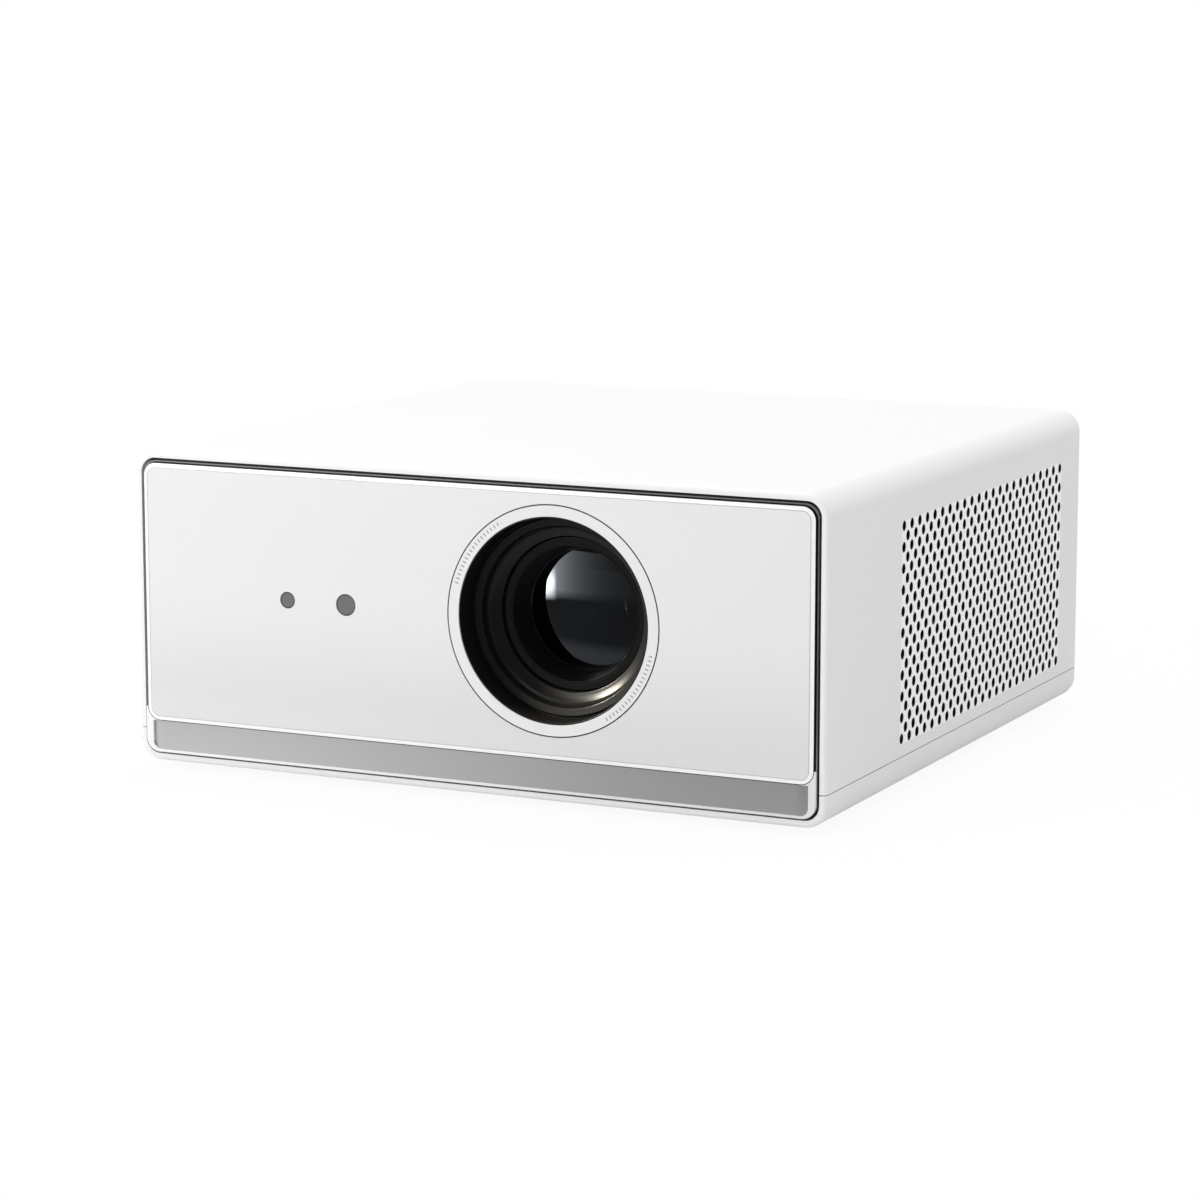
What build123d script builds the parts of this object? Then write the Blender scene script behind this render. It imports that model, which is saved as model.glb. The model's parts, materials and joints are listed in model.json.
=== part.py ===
from build123d import *

import math
import os

# A small home-theatre projector. Millimetres, Z up, front towards -Y.
# The origin is on the floor under the middle of the projector.

# Case
case_width = 285.0
case_height = 120.0
case_depth = 278.5
case_wall = 2.7
rear_wall = 4.5
case_corner = 8.5  # edges that run from front to rear
front_edge = 1.6
rear_edge = 6.5
foot_drop = 3.0  # how far the feet hold the case off the floor
parting_height = 12.3  # tray height below the parting line
parting_gap = 0.35
lip_thickness = 1.5  # the tray's locating lip inside the cover
lip_rise = 2.0
lip_setback = 15.0  # lip end to the front and rear of the case
web = 2.0  # thin ribs of the cover
rib = 3.0  # ribs of the tray
ledge_size = (10.0, 5.0, 7.0)  # corner blocks behind the front carrier
seat_gap = 0.3  # clearance round a piece that drops into another
run_gap = 0.1  # radial clearance of a piece that turns or slides
press_gap = 0.05  # radial clearance of a piece that is pressed in

# Front
glass_proud = 1.5  # glass front ahead of the rim
glass_thickness = 1.6
glass_margin = 1.9  # rim opening to glass edge, sides and top
glass_base = 16.1  # glass bottom edge above the underside of the case
glass_corner = 5.0
bevel_width = 1.6
bevel_depth = 0.4
bezel_gap = 0.9  # shadow line between rim and bezel
bezel_thickness = 3.0
bezel_width = 7.0
bezel_corner = 3.0
carrier_thickness = 2.5
strip_side = 2.9  # bezel edge to strip end
strip_foot = 1.0  # bezel edge to strip bottom
strip_corner = 3.0
strip_thickness = 1.1
strip_roll_length = 4.4  # how much of each end curves back
strip_roll_depth = 0.9
frame_thickness = 1.2

# Lens
lens_x = 35.3
lens_rise = 1.45  # axis above the middle of the glass
ring_radius = 42.8
ring_depth = 3.0
mouth_radius = 38.3
hood_lip_radius = 35.3
hood_lip_depth = 1.2
hood_step = 0.5
hood_gap = 0.6  # hood to barrel, all round
hood_end_depth = 15.5
hood_wall = 1.9
hood_flange_radius = 45.0
hood_flange = 1.6
hood_rebate = 0.5  # bezel clearance round the hood's flange
hood_seat = 6.0  # how far the flange lies on the carrier
trim_gap = 0.15  # glass to lens ring, all round
barrel_radius = 28.5
barrel_front = 16.5  # depths are behind the front of the glass
barrel_length = 54.0
barrel_wall = 2.5  # round the front lens
lens_seat = 3.1  # how far the retainer overlaps the front lens
retainer_rim = 1.0
retainer_length = 12.5
front_lens_rim = 3.0
front_lens_sag = 5.5
bore_wall = 7.5  # round the barrel's bore
rear_lens_wall = 8.5  # round the rear lens
rear_lens_thickness = 5.0
rear_lens_sag = 2.2
rear_lens_inset = 1.5  # rear lens to the end of the barrel
lens_shoulder = 2.0
mount_wall = 2.8
mount_tube_length = 14.0
mount_flange = 4.0

# Focus drive
gear_module = 1.5
ring_wall = 2.6  # between the ring's bore and the roots of its teeth
pinion_teeth = 12
gear_width = 8.0
gear_depth = 28.0  # front of the barrel to the front of the gears
tooth_tip = 0.9  # tooth height above the pitch circle, in modules
tooth_root = 1.2
tooth_tip_half = 0.13  # half a tooth's width at its tip, as a share of the tooth step
tooth_root_half = 0.29
gear_play = 0.3  # how far the teeth stand off each other
motor_angle = 225.0
motor_radius = 10.0
motor_length = 9.4
motor_shaft_radius = 1.5
motor_end_wall = 1.5
shaft_end_gap = 0.5

# Sensor windows
near_window_x = -75.4
far_window_x = -50.4
near_window_radius = 3.1
far_window_radius = 4.05
sensor_drop = 0.3  # windows below the lens axis
window_inset = 0.2  # windows behind the front of the glass
window_gap = 0.1
window_tube_wall = 2.0
window_ledge = 0.8
sensor_board_stand = 4.0
sensor_board_margin = 12.0
sensor_board_height = 22.0
near_sensor = (5.0, 8.0)
far_sensor = (8.5, 8.5)

# Grilles
hole_pitch = 7.98
hole_width = 3.3  # side of one square hole
first_hole_y = 73.4  # behind the rim
last_hole_y = 29.5  # least distance to the rear face
first_hole_height = 19.3  # above the underside of the case
last_hole_drop = 20.8  # least distance below the top of the case
grille_border = 5.0
louvre_height = 3.2
louvre_pitch = 7.5
louvre_count = 11

# Optical engine
engine_width = 100.0
engine_length = 134.0
engine_headroom = 2.1  # lid to the top of the case
engine_wall = 2.0
lid_thickness = 2.0
lens_port_gap = 1.0
air_slot = (70.0, 4.0)  # width and length of the slots in the engine's floor
air_slot_at = (79.0, 96.0)  # slot fronts behind the front of the engine
light_window = 30.0
sheet_headroom = 6.0
front_fresnel_at = 76.0  # behind the front wall of the engine
panel_at = 84.0
rear_fresnel_at = 92.0
heat_glass_at = 102.0
sheet_thickness = 2.0
panel_thickness = 3.0
funnel_length = 25.0
funnel_margin = 7.0  # wide end to the engine's top and bottom
funnel_narrow = 34.0
funnel_wall = 1.2

# Light source and cooling
block_width = 50.0
block_thickness = 18.0
chip_width = 22.0
chip_height = 2.0
pipe_radius = 3.0
pipe_bend = 12.0
pipe_end = 3.0  # pipe ends inside the block and the fins
pipe_rows = (4.6, 13.4)  # behind the front of the copper block
fin_side_gap = 3.0  # engine to fins
fin_clearance = 0.6  # end of the pipes' bend inside the fins
fin_stack_length = 64.0
fin_stack_height = 76.0
fin_bar = 9.0
fin_count = 17
fin_thickness = 1.0
fan_size = 80.0
fan_thickness = 20.0
fan_duct_radius = 37.5
fan_blade_radius = 36.6
fan_hub_radius = 16.0
fan_blades = 7
fan_blade_pitch = 38.0
fan_corner = 4.0
fan_seat = 3.0  # thickness of the motor seat and its struts
fan_strut = 4.0
fan_axle_radius = 1.5
fan_hub_gap = 1.0
blade_thickness = 1.4
blade_camber = 1.6
blade_end_gap = 0.75  # blade to each end of the hub
rib_spacing = 48.0  # between the ribs that carry the fan and the fins
blower_size = 64.0
blower_height = 20.0
blower_wheel_radius = 24.0
blower_corner = 20.0
blower_wall = 1.5
blower_chamber_gap = 4.0
blower_inlet_radius = 18.0
blower_mouth = 24.0
blower_disc = 1.5
blower_hub_radius = 9.0
blower_hub_drop = 3.0
blower_floor_gap = 0.5
blower_top_gap = 0.8
vane_size = (6.0, 0.9)
vane_turn = 25.0
blower_vanes = 18
blower_x = -52.0
blower_gap = 8.0  # blower to power board

# Boards; a component is placed by its distance from the board's left and front edges
board_thickness = 1.6
main_board_left = -92.0
main_board_gap = 1.3  # board to the side of the engine
main_board_length = 61.0
main_board_setback = 7.0  # rear of the board to the rear of the case
main_board_height = 26.0
power_board_inset = 5.8  # board to the left wall
power_board_right = -24.0
power_board_length = 54.0
power_board_gap = 6.0  # between the two boards
power_board_height = 12.0
board_inset = 5.0  # board edge to the middle of a standoff
board_stand = 5.0
engine_stand = 6.0
engine_foot_x = 8.0  # engine wall to the middle of a foot
engine_foot_y = 10.0
cooler_place = (10.0, 10.0)
cooler_size = (30.0, 26.0)
cooler_base = 3.0
cooler_height = 10.0
cooler_fins = 8
cooler_fin = 1.2
transformer_place = (34.0, 12.0)
transformer_size = (28.0, 26.0, 24.0)
choke_place = (6.0, 18.0)
choke_size = (16.0, 18.0, 18.0)
capacitor_places = ((82.0, 16.0), (82.0, 38.0))
capacitor_radius = 9.0
capacitor_height = 30.0

# Rear plate and sockets
rear_plate_side = 14.5  # plate to the side of the case
rear_plate_corner = 4.0
rear_plate_drop = 11.0  # plate to the top of the case
rear_plate_base = 21.0  # plate to the underside of the case
rear_plate = 2.2
rear_step = 1.0  # how far the plate sits inside the rear face
rear_lip = 4.0  # what the plate overlaps behind its edge
video_x = (-74.0, -56.0)
video_size = (15.4, 6.0)
data_x = (-42.0, -31.0)
data_size = (6.6, 13.2)
sound_x = -21.0
sound_radius = 1.8
sound_nose_radius = 3.9
sound_block = 8.0
sound_hole_gap = 0.3
inlet_inset = 29.8  # middle of the inlet to the left wall
inlet_size = (22.0, 16.0)
inlet_rise = 13.0  # middle of the inlet above the bottom of the rear plate
inlet_depth = 25.0
inlet_wall = 2.0
inlet_back = 3.0
pin_spread = 4.3
pin_width = 2.4
pin_setback = 4.0
port_gap = 0.5  # socket plate to a socket's shell
socket_border = 2.0  # what the socket plate leaves round its holes
socket_depth = 12.0
socket_wall = 0.5
socket_back = 1.5
socket_setback = 0.4
button_x = 60.0
button_rise = 17.0
button_radius = 6.0
button_travel = 0.8
button_proud = 0.6
collar = (1.5, 1.5)  # the button's collar: how much wider, and how thick
plunger_radius = 1.8
plunger_length = 1.5
switch_width = 10.0
switch_depth = 4.0
switch_gap = 0.1
switch_board_width = 16.0
switch_board_rise = 9.0  # top of the switch's board above the button's middle
bracket_width = 8.0
bracket_length = 7.0
inlet_bracket_length = 20.0
vent_start = 0.0
vent_end_margin = 20.0  # last slot to the end of the rear plate
vent_pitch = 7.2
vent_width = 3.4
vent_lift = 14.0  # slots above the button
vent_drop = 11.0  # slots below the top of the rear plate
vent_border = 4.0  # slots to the edge of their grille

# Loudspeakers
speaker_length = 41.5
speaker_fan_gap = 1.3
speaker_headroom = 18.6
speaker_box_width = 30.0
speaker_inset = 6.0  # side wall to the front of a speaker box
speaker_box_wall = 2.5
speaker_radius = 18.0
speaker_rise = 52.0
speaker_rim = 1.8  # rim width that lies on the box
rim_thickness = 1.6
surround_width = 2.2
surround_rise = 0.4
cone_depth = 3.0
cap_depth = 2.0
cap_radius = 5.0
basket_depth = 12.0
magnet_radius = 8.0
magnet_depth = 18.0

# Underside
foot_radius = 8.0
foot_recess = 1.0
aerial_x = (-110.0, -60.0)
aerial_width = 8.0
aerial_setback = 32.0  # from the rear of the case
aerial_thickness = 1.0
floor_slot_x = (-40.0, -28.0, 60.0, 72.0, 84.0)
floor_slot_y = (-30.0, 96.0)
floor_slot = (4.0, 36.0)
foot_inset = 26.5  # from each side of the case
foot_front_setback = 30.5
foot_rear_setback = 28.0
post_inset = 8.8  # from each side wall
post_front_setback = 19.5
post_rear_setback = 14.0
post_radius = 5.0
post_height = 30.0  # top of the tray post above the floor
screw_radius = 1.5
screw_head_radius = 3.0
screw_head = 3.0
screw_seat = 6.0  # thickness of the post above the screw's head
screw_grip = 12.0  # how far the screw goes into the cover's boss
screw_head_gap = 0.6
tripod_y = 20.0
tripod_thread_radius = 2.6  # tapping hole of a quarter-inch camera screw
tripod_insert_radius = 5.5
tripod_insert_length = 9.0
tripod_boss_wall = 3.0
tripod_boss_roof = 2.0
stem_radius = 4.0
stem_length = 24.0
stem_setback = 34.5
bush_radius = 6.5
bush_length = 7.0
knob_radius = 15.0
knob_width = 5.0
knob_notches = 12
notch_width = 1.8
knob_gap = 0.6  # knob to its pocket
knob_headroom = 1.0
knob_web = 1.0  # what is left of the knob under the stem
pocket_wall = 3.0
bush_wall = 2.5
bush_seat = 1.5
pad_radius = 9.0
pad_height = 1.4
pad_lift = 0.8  # how far the retracted foot stays off the floor

# Places worked out from the sizes above
front_face = -(case_depth + glass_proud) / 2
rim_face = front_face + glass_proud
rear_face = rim_face + case_depth
case_bottom = foot_drop
case_top = case_bottom + case_height
case_middle = (case_bottom + case_top) / 2
floor_top = case_bottom + case_wall
ceiling = case_top - case_wall
inner_half = case_width / 2 - case_wall
inner_width = 2 * inner_half
inner_height = case_height - 2 * case_wall
inner_corner = case_corner - case_wall
parting = case_bottom + parting_height
glass_back = front_face + glass_thickness
bezel_back = glass_back + bezel_thickness
carrier_back = bezel_back + carrier_thickness
glass_half = inner_half - glass_margin
glass_bottom = case_bottom + glass_base
glass_top = ceiling - glass_margin
bezel_half = inner_half - bezel_gap
bezel_half_height = (ceiling - floor_top) / 2 - bezel_gap
bezel_outer_corner = inner_corner - bezel_gap / 2
lens_z = (glass_top + glass_bottom) / 2 + lens_rise
sensor_z = lens_z - sensor_drop
barrel_back = barrel_front + barrel_length
pocket_radius = barrel_radius - barrel_wall
lens_clear_radius = pocket_radius - lens_seat
rear_lens_radius = barrel_radius - rear_lens_wall
hood_end_radius = barrel_radius + hood_gap
ring_teeth = round(2 * (barrel_radius + run_gap + ring_wall) / gear_module + 2 * tooth_root)
gear_front = barrel_front + gear_depth
gear_back = gear_front + gear_width
mount_front = gear_back + seat_gap
mount_back = mount_front + mount_tube_length
engine_front = front_face + mount_back
engine_back = engine_front + engine_length
engine_top = ceiling - engine_headroom - lid_thickness
engine_bottom = 2 * lens_z - engine_top
hole_columns = int((case_depth - first_hole_y - last_hole_y) / hole_pitch) + 1
hole_rows = int((case_height - first_hole_height - last_hole_drop) / (hole_pitch / 2)) + 1
first_hole = (rim_face + first_hole_y, case_bottom + first_hole_height)
last_hole = (
    first_hole[0] + (hole_columns - 1) * hole_pitch,
    first_hole[1] + (hole_rows - 1) * hole_pitch / 2,
)
grille_y = (first_hole[0] - grille_border, last_hole[0] + grille_border)
grille_z = (first_hole[1] - grille_border, last_hole[1] + grille_border)
fin_stack_back = engine_back - (pipe_bend - pipe_rows[0]) - fin_clearance
fan_y = fin_stack_back - fin_stack_length / 2
fan_z = (grille_z[0] + grille_z[1]) / 2
fan_outer = inner_half - lip_thickness - 2 * seat_gap
fan_inner = fan_outer - fan_thickness
speaker_back = fan_y - fan_size / 2 - speaker_fan_gap
speaker_y = (speaker_back - speaker_length, speaker_back)
rear_plate_y = rear_face - rear_step
rear_plate_bottom = case_bottom + rear_plate_base
rear_plate_top = case_top - rear_plate_drop
rear_plate_half = case_width / 2 - rear_plate_side
vent_count = int((rear_plate_half - vent_end_margin - vent_start) / vent_pitch) + 1
vent_end = vent_start + (vent_count - 1) * vent_pitch
inlet_x = inlet_inset - inner_half
inlet_z = rear_plate_bottom + inlet_rise
button_z = rear_plate_bottom + button_rise
port_z = case_bottom + main_board_height + board_thickness
sound_z = port_z + sound_block / 2
main_board_back = rear_face - main_board_setback
main_board_x = (main_board_left, lens_x - engine_width / 2 - main_board_gap)
main_board_y = (main_board_back - main_board_length, main_board_back)
power_board_back = main_board_y[0] - power_board_gap
power_board_x = (power_board_inset - inner_half, power_board_right)
power_board_y = (power_board_back - power_board_length, power_board_back)
blower_y = power_board_y[0] - blower_gap - blower_size / 2
stem_y = rim_face + stem_setback


def block(x, y, z):
    """A box between two limits along each axis."""
    limits = (x, y, z)
    size = [high - low for low, high in limits]
    middle = [(high + low) / 2 for low, high in limits]
    return Pos(*middle) * Box(*size)


def around(middle, size):
    """The two limits of a size about its middle."""
    return (middle - size / 2, middle + size / 2)


def along_x(sketch, x_from, x_to):
    """A sketch drawn as (y, z), carried from one x to another."""
    return extrude(Plane.YZ.offset(x_from) * sketch, amount=x_to - x_from)


def along_y(sketch, y_from, y_to):
    """A sketch drawn as (x, z), carried from one y to another."""
    return extrude(Plane.XZ.offset(-y_to) * sketch, amount=y_to - y_from)


def along_z(sketch, z_from, z_to):
    """A sketch drawn as (x, y), carried from one z to another."""
    return extrude(Plane.XY.offset(z_from) * sketch, amount=z_to - z_from)


def rod_x(y, z, radius, x_from, x_to):
    return along_x(Pos(y, z) * Circle(radius), x_from, x_to)


def rod_y(x, z, radius, y_from, y_to):
    return along_y(Pos(x, z) * Circle(radius), y_from, y_to)


def rod_z(x, y, radius, z_from, z_to):
    return along_z(Pos(x, y) * Circle(radius), z_from, z_to)


def turned(*profile):
    """Points of (radius, depth behind the glass front), turned round the lens axis."""
    points = [(radius, front_face + depth) for radius, depth in profile]
    return turned_face(make_face(Polyline(*points, close=True)))


def turned_face(face):
    return Pos(lens_x, 0, lens_z) * revolve(face, Axis.Y)


def tube(outer, inner, depth_from, depth_to):
    """A plain ring on the lens axis."""
    return turned((inner, depth_from), (outer, depth_from), (outer, depth_to), (inner, depth_to))


def case_outline(inset):
    """The cross-section of the case, seen from the front."""
    outline = RectangleRounded(case_width - 2 * inset, case_height - 2 * inset, case_corner - inset)
    return Pos(0, case_middle) * outline


def case_shell():
    """The whole moulded case: a rounded box, open at the front, with a window for the rear plate."""
    body = along_y(case_outline(0), rim_face, rear_face)
    rear = body.faces().sort_by(Axis.Y)[-1]
    body = fillet(rear.edges(), rear_edge)
    body = fillet(body.faces().sort_by(Axis.Y)[0].edges(), front_edge)
    hollow = along_y(case_outline(case_wall), rim_face, rear_face - rear_wall)
    window = along_y(rear_outline(rear_lip), rear_face - rear_wall, rear_face)
    recess = along_y(rear_outline(0), rear_plate_y - rear_plate, rear_face)
    return body - hollow - window - recess


def rear_outline(inset):
    """The rear plate seen from the front, smaller all round by the inset."""
    middle = (rear_plate_bottom + rear_plate_top) / 2
    size = (2 * (rear_plate_half - inset), rear_plate_top - rear_plate_bottom - 2 * inset)
    return Pos(0, middle) * RectangleRounded(*size, rear_plate_corner)


def post_places():
    """The four corners where tray and cover are screwed together."""
    reach = inner_half - post_inset
    return corner_places(reach, post_front_setback, post_rear_setback)


def foot_places():
    return corner_places(case_width / 2 - foot_inset, foot_front_setback, foot_rear_setback)


def corner_places(reach, front_setback, rear_setback):
    """Four places, the same distance each side of the middle."""
    ys = (rim_face + front_setback, rear_face - rear_setback)
    return [(x, y) for x in (-reach, reach) for y in ys]


def grille_window(side):
    """The opening in the side wall that a grille fills; side is -1 for left, 1 for right."""
    inner, outer = sorted((side * inner_half, side * case_width / 2))
    return block((inner, outer), grille_y, grille_z)


def top_cover():
    """Top and sides in one shell, with bosses that reach down to the tray posts."""
    above = block((-case_width, case_width), (-case_depth, case_depth), (parting + parting_gap, case_top))
    cover = case_shell() & above
    for side in (-1, 1):
        cover -= grille_window(side)
        cover += front_ledge(side, ceiling)
    for x, y in post_places():
        wall_x = math.copysign(inner_half, x)
        cover += rod_z(x, y, post_radius, post_height, ceiling)
        cover += block(sorted((x, wall_x)), around(y, web), (post_height, ceiling))
        cover -= rod_z(x, y, screw_radius + run_gap, post_height, post_height + screw_grip + web)
    return cover


def front_ledge(side, wall_z):
    """A corner block behind the front carrier."""
    width, length, height = ledge_size
    x = sorted((side * inner_half, side * (inner_half - width)))
    z = sorted((wall_z, wall_z - math.copysign(height, wall_z - case_middle)))
    return block(x, (carrier_back, carrier_back + length), z)


def bottom_tray():
    """The lower shell, with all that stands on its floor."""
    below = block((-case_width, case_width), (-case_depth, case_depth), (case_bottom, parting))
    tray = case_shell() & below
    for side in (-1, 1):
        tray += front_ledge(side, floor_top)
        tray += tray_lip(side)
    for piece in tray_stands() + tray_bosses():
        tray += piece
    for hole in tray_holes():
        tray -= hole
    return tray


def tray_lip(side):
    """The lip along one side that locates the cover."""
    outer = side * (inner_half - seat_gap)
    x = sorted((outer, outer - side * lip_thickness))
    return block(x, (rim_face + lip_setback, rear_face - lip_setback), (floor_top, parting + lip_rise))


def stand(x, y, size, top):
    """A square standoff on the tray's floor."""
    return block(around(x, size), around(y, size), (floor_top, top))


def tray_stands():
    """Standoffs, ribs and brackets under the engine, boards, fan, fins, inlet and switch."""
    stands = [stand(x, y, engine_stand, engine_bottom) for x, y in engine_feet()]
    for x, y in board_posts(main_board_x, main_board_y):
        stands.append(stand(x, y, board_stand, case_bottom + main_board_height))
    for x, y in board_posts(power_board_x, power_board_y):
        stands.append(stand(x, y, board_stand, case_bottom + power_board_height))
    for y in around(fan_y, rib_spacing):
        stands.append(block((fan_inner, fan_outer), around(y, rib), (floor_top, fan_z - fan_size / 2)))
        stands.append(block(fin_stack_x(), around(y, rib), (floor_top, fan_z - fin_stack_height / 2)))
    inlet_y = (inlet_front(), inlet_front() + inlet_bracket_length)
    stands.append(block(around(inlet_x, bracket_width), inlet_y, (floor_top, inlet_z - inlet_size[1] / 2)))
    switch_y = (switch_back(), switch_back() + bracket_length)
    stands.append(block(around(button_x, bracket_width), switch_y, (floor_top, switch_bottom())))
    return stands


def tray_bosses():
    """Round bosses for the case screws, the tripod insert and the screw foot."""
    bosses = [rod_z(x, y, post_radius, case_bottom, post_height) for x, y in post_places()]
    insert_top = case_bottom + tripod_insert_length + tripod_boss_roof
    bosses.append(rod_z(0, tripod_y, tripod_insert_radius + tripod_boss_wall, case_bottom, insert_top))
    bosses.append(rod_z(0, stem_y, knob_radius + pocket_wall, case_bottom, bush_base()))
    bosses.append(rod_z(0, stem_y, bush_radius + bush_wall, case_bottom, bush_base() + bush_length))
    return bosses


def tray_holes():
    """What is cut from the tray's underside."""
    holes = []
    for x, y in post_places():
        holes.append(rod_z(x, y, screw_head_radius + screw_head_gap, case_bottom, post_height - screw_seat))
        holes.append(rod_z(x, y, screw_radius + run_gap, case_bottom, post_height))
    for x, y in foot_places():
        holes.append(rod_z(x, y, foot_radius + seat_gap, case_bottom, case_bottom + foot_recess))
    holes.append(rod_z(0, tripod_y, tripod_insert_radius, case_bottom, case_bottom + tripod_insert_length))
    holes.append(rod_z(0, stem_y, knob_radius + knob_gap, case_bottom, knob_top() + knob_headroom))
    holes.append(rod_z(0, stem_y, bush_radius, case_bottom, bush_base() + bush_length))
    for x in floor_slot_x:
        for y in floor_slot_y:
            holes.append(block(around(x, floor_slot[0]), around(y, floor_slot[1]), (case_bottom, floor_top)))
    return holes


def engine_feet():
    xs = engine_x(engine_foot_x)
    ys = (engine_front + engine_foot_y, engine_back - engine_foot_y)
    return [(x, y) for x in xs for y in ys]


def board_posts(x_limits, y_limits):
    """Four standoffs, each set in from a corner of the board."""
    xs = (x_limits[0] + board_inset, x_limits[1] - board_inset)
    ys = (y_limits[0] + board_inset, y_limits[1] - board_inset)
    return [(x, y) for x in xs for y in ys]


def side_grille():
    """The right wall's perforated field: staggered rows of square holes stood on a corner."""
    reach = hole_width / math.sqrt(2)
    corners = ((reach, 0), (0, reach), (-reach, 0), (0, -reach))
    holes = []
    for row in range(hole_rows):
        shift = 0.5 * (row % 2)
        for column in range(hole_columns - row % 2):
            y = first_hole[0] + (column + shift) * hole_pitch
            z = first_hole[1] + row * hole_pitch / 2
            holes.append(Wire.make_polygon([(y + a, z + b) for a, b in corners]))
    (front, back), (low, high) = grille_y, grille_z
    edge = Wire.make_polygon([(front, low), (back, low), (back, high), (front, high)])
    return along_x(Sketch() + Face(edge, holes), inner_half, case_width / 2)


def inlet_grille():
    """The left wall's air inlet: level louvre slots."""
    plate = block((-case_width / 2, -inner_half), grille_y, grille_z)
    middle = (grille_y[0] + grille_y[1]) / 2
    length = grille_y[1] - grille_y[0] - 4 * grille_border
    for step in range(louvre_count):
        z = fan_z + (step - (louvre_count - 1) / 2) * louvre_pitch
        slot = block((-case_width / 2, -inner_half), around(middle, length), around(z, louvre_height))
        plate -= slot
    return plate


def rear_panel():
    """The rear plate, set back in its window, with holes for two inserts, the inlet and the button."""
    cut = (rear_plate_y - rear_plate, rear_plate_y)
    plate = along_y(rear_outline(seat_gap), *cut)
    inlet_hole_x = around(inlet_x, inlet_size[0] + 2 * seat_gap)
    plate -= block(inlet_hole_x, cut, around(inlet_z, inlet_size[1] + 2 * seat_gap))
    plate -= rod_y(button_x, button_z, button_radius + run_gap, *cut)
    for x, z in (socket_field(socket_border + seat_gap), vent_field(vent_border + seat_gap)):
        plate -= block(x, cut, z)
    return plate


def socket_field(border):
    """The limits in x and z of the sockets' holes and a border round them."""
    left = video_x[0] - video_size[0] / 2 - port_gap
    right = sound_x + sound_nose_radius + sound_hole_gap
    z = (port_z - port_gap - border, port_z + data_size[1] + port_gap + border)
    return (left - border, right + border), z


def socket_plate():
    """The plate round the sockets, set into the rear plate, with a hole for each."""
    y = (rear_plate_y - rear_plate, rear_plate_y)
    x, z = socket_field(socket_border)
    plate = block(x, y, z)
    for places, (width, height) in ((video_x, video_size), (data_x, data_size)):
        hole_z = around(port_z + height / 2, height + 2 * port_gap)
        for place in places:
            plate -= block(around(place, width + 2 * port_gap), y, hole_z)
    return plate - rod_y(sound_x, sound_z, sound_nose_radius + sound_hole_gap, *y)


def vent_field(border):
    """The limits in x and z of the hot-air slots and a border round them."""
    x = (vent_start - vent_width / 2 - border, vent_end + vent_width / 2 + border)
    return x, (button_z + vent_lift - border, rear_plate_top - vent_drop + border)


def outlet_grille():
    """The hot-air grille, set into the rear plate: a row of upright slots."""
    y = (rear_plate_y - rear_plate, rear_plate_y)
    x, z = vent_field(vent_border)
    grille = block(x, y, z)
    slot_z = vent_field(0)[1]
    for step in range(vent_count):
        grille -= block(around(vent_start + step * vent_pitch, vent_width), y, slot_z)
    return grille


def front_bezel():
    """The dark frame behind the glass; its edge shows as the line round the front."""
    outside = RectangleRounded(2 * bezel_half, 2 * bezel_half_height, bezel_outer_corner)
    inside_top = glass_top - bezel_width
    inside_bottom = glass_bottom + bezel_width
    inside = RectangleRounded(2 * (glass_half - bezel_width), inside_top - inside_bottom, bezel_corner)
    outline = Pos(0, case_middle) * outside - Pos(0, (inside_top + inside_bottom) / 2) * inside
    bezel = along_y(outline, glass_back, bezel_back)
    return bezel - rod_y(lens_x, lens_z, hood_flange_radius + hood_rebate, glass_back, bezel_back)


def front_carrier():
    """The plate that closes the front of the case and holds hood, bezel and sensors."""
    outline = RectangleRounded(inner_width - 2 * seat_gap, inner_height - 2 * seat_gap, inner_corner)
    plate = along_y(Pos(0, case_middle) * outline, bezel_back, carrier_back)
    plate -= rod_y(lens_x, lens_z, hood_flange_radius - hood_seat, bezel_back, carrier_back)
    for x, radius in ((near_window_x, near_window_radius), (far_window_x, far_window_radius)):
        plate += rod_y(x, sensor_z, radius + window_tube_wall, glass_back, carrier_back)
        plate -= rod_y(x, sensor_z, radius - window_ledge, glass_back, carrier_back)
    return plate


def glass_outline(grow):
    """The glass seen from the front, larger all round by the given amount."""
    height = glass_top - glass_bottom
    outline = RectangleRounded(2 * (glass_half + grow), height + 2 * grow, glass_corner + grow)
    return Pos(0, (glass_top + glass_bottom) / 2) * outline


def front_glass():
    """The glossy panel with its ground bevel and three openings."""
    glass = along_y(glass_outline(0), front_face, glass_back)
    face = glass.faces().sort_by(Axis.Y)[0]
    glass = chamfer(face.edges(), bevel_width, bevel_depth, reference=face)
    glass -= rod_y(lens_x, lens_z, ring_radius + trim_gap, front_face, glass_back)
    glass -= rod_y(near_window_x, sensor_z, near_window_radius + window_gap, front_face, glass_back)
    return glass - rod_y(far_window_x, sensor_z, far_window_radius + window_gap, front_face, glass_back)


def strip_outline(inset):
    """The band below the glass, out to the bezel's edge less the inset."""
    low = case_middle - bezel_half_height + inset
    high = glass_bottom + glass_corner
    size = (2 * (bezel_half - inset), 2 * (bezel_half_height - inset))
    band = Pos(0, case_middle) * RectangleRounded(*size, bezel_outer_corner - inset)
    return band & Pos(0, (low + high) / 2) * Rectangle(case_width, high - low)


def strip_face():
    """The satin band itself, seen from the front."""
    low = case_middle - bezel_half_height + strip_foot
    high = glass_bottom - seat_gap
    size = (2 * (bezel_half - strip_side), high - low + strip_corner)
    lower = Pos(0, (low + high + strip_corner) / 2) * RectangleRounded(*size, strip_corner)
    return lower & Pos(0, (low + high) / 2) * Rectangle(case_width, high - low)


def strip_frame():
    """The polished frame round the band; its two horns run up beside the glass corners."""
    outline = strip_outline(0) - glass_outline(seat_gap) - strip_face()
    return along_y(outline, glass_back - frame_thickness, glass_back)


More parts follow.
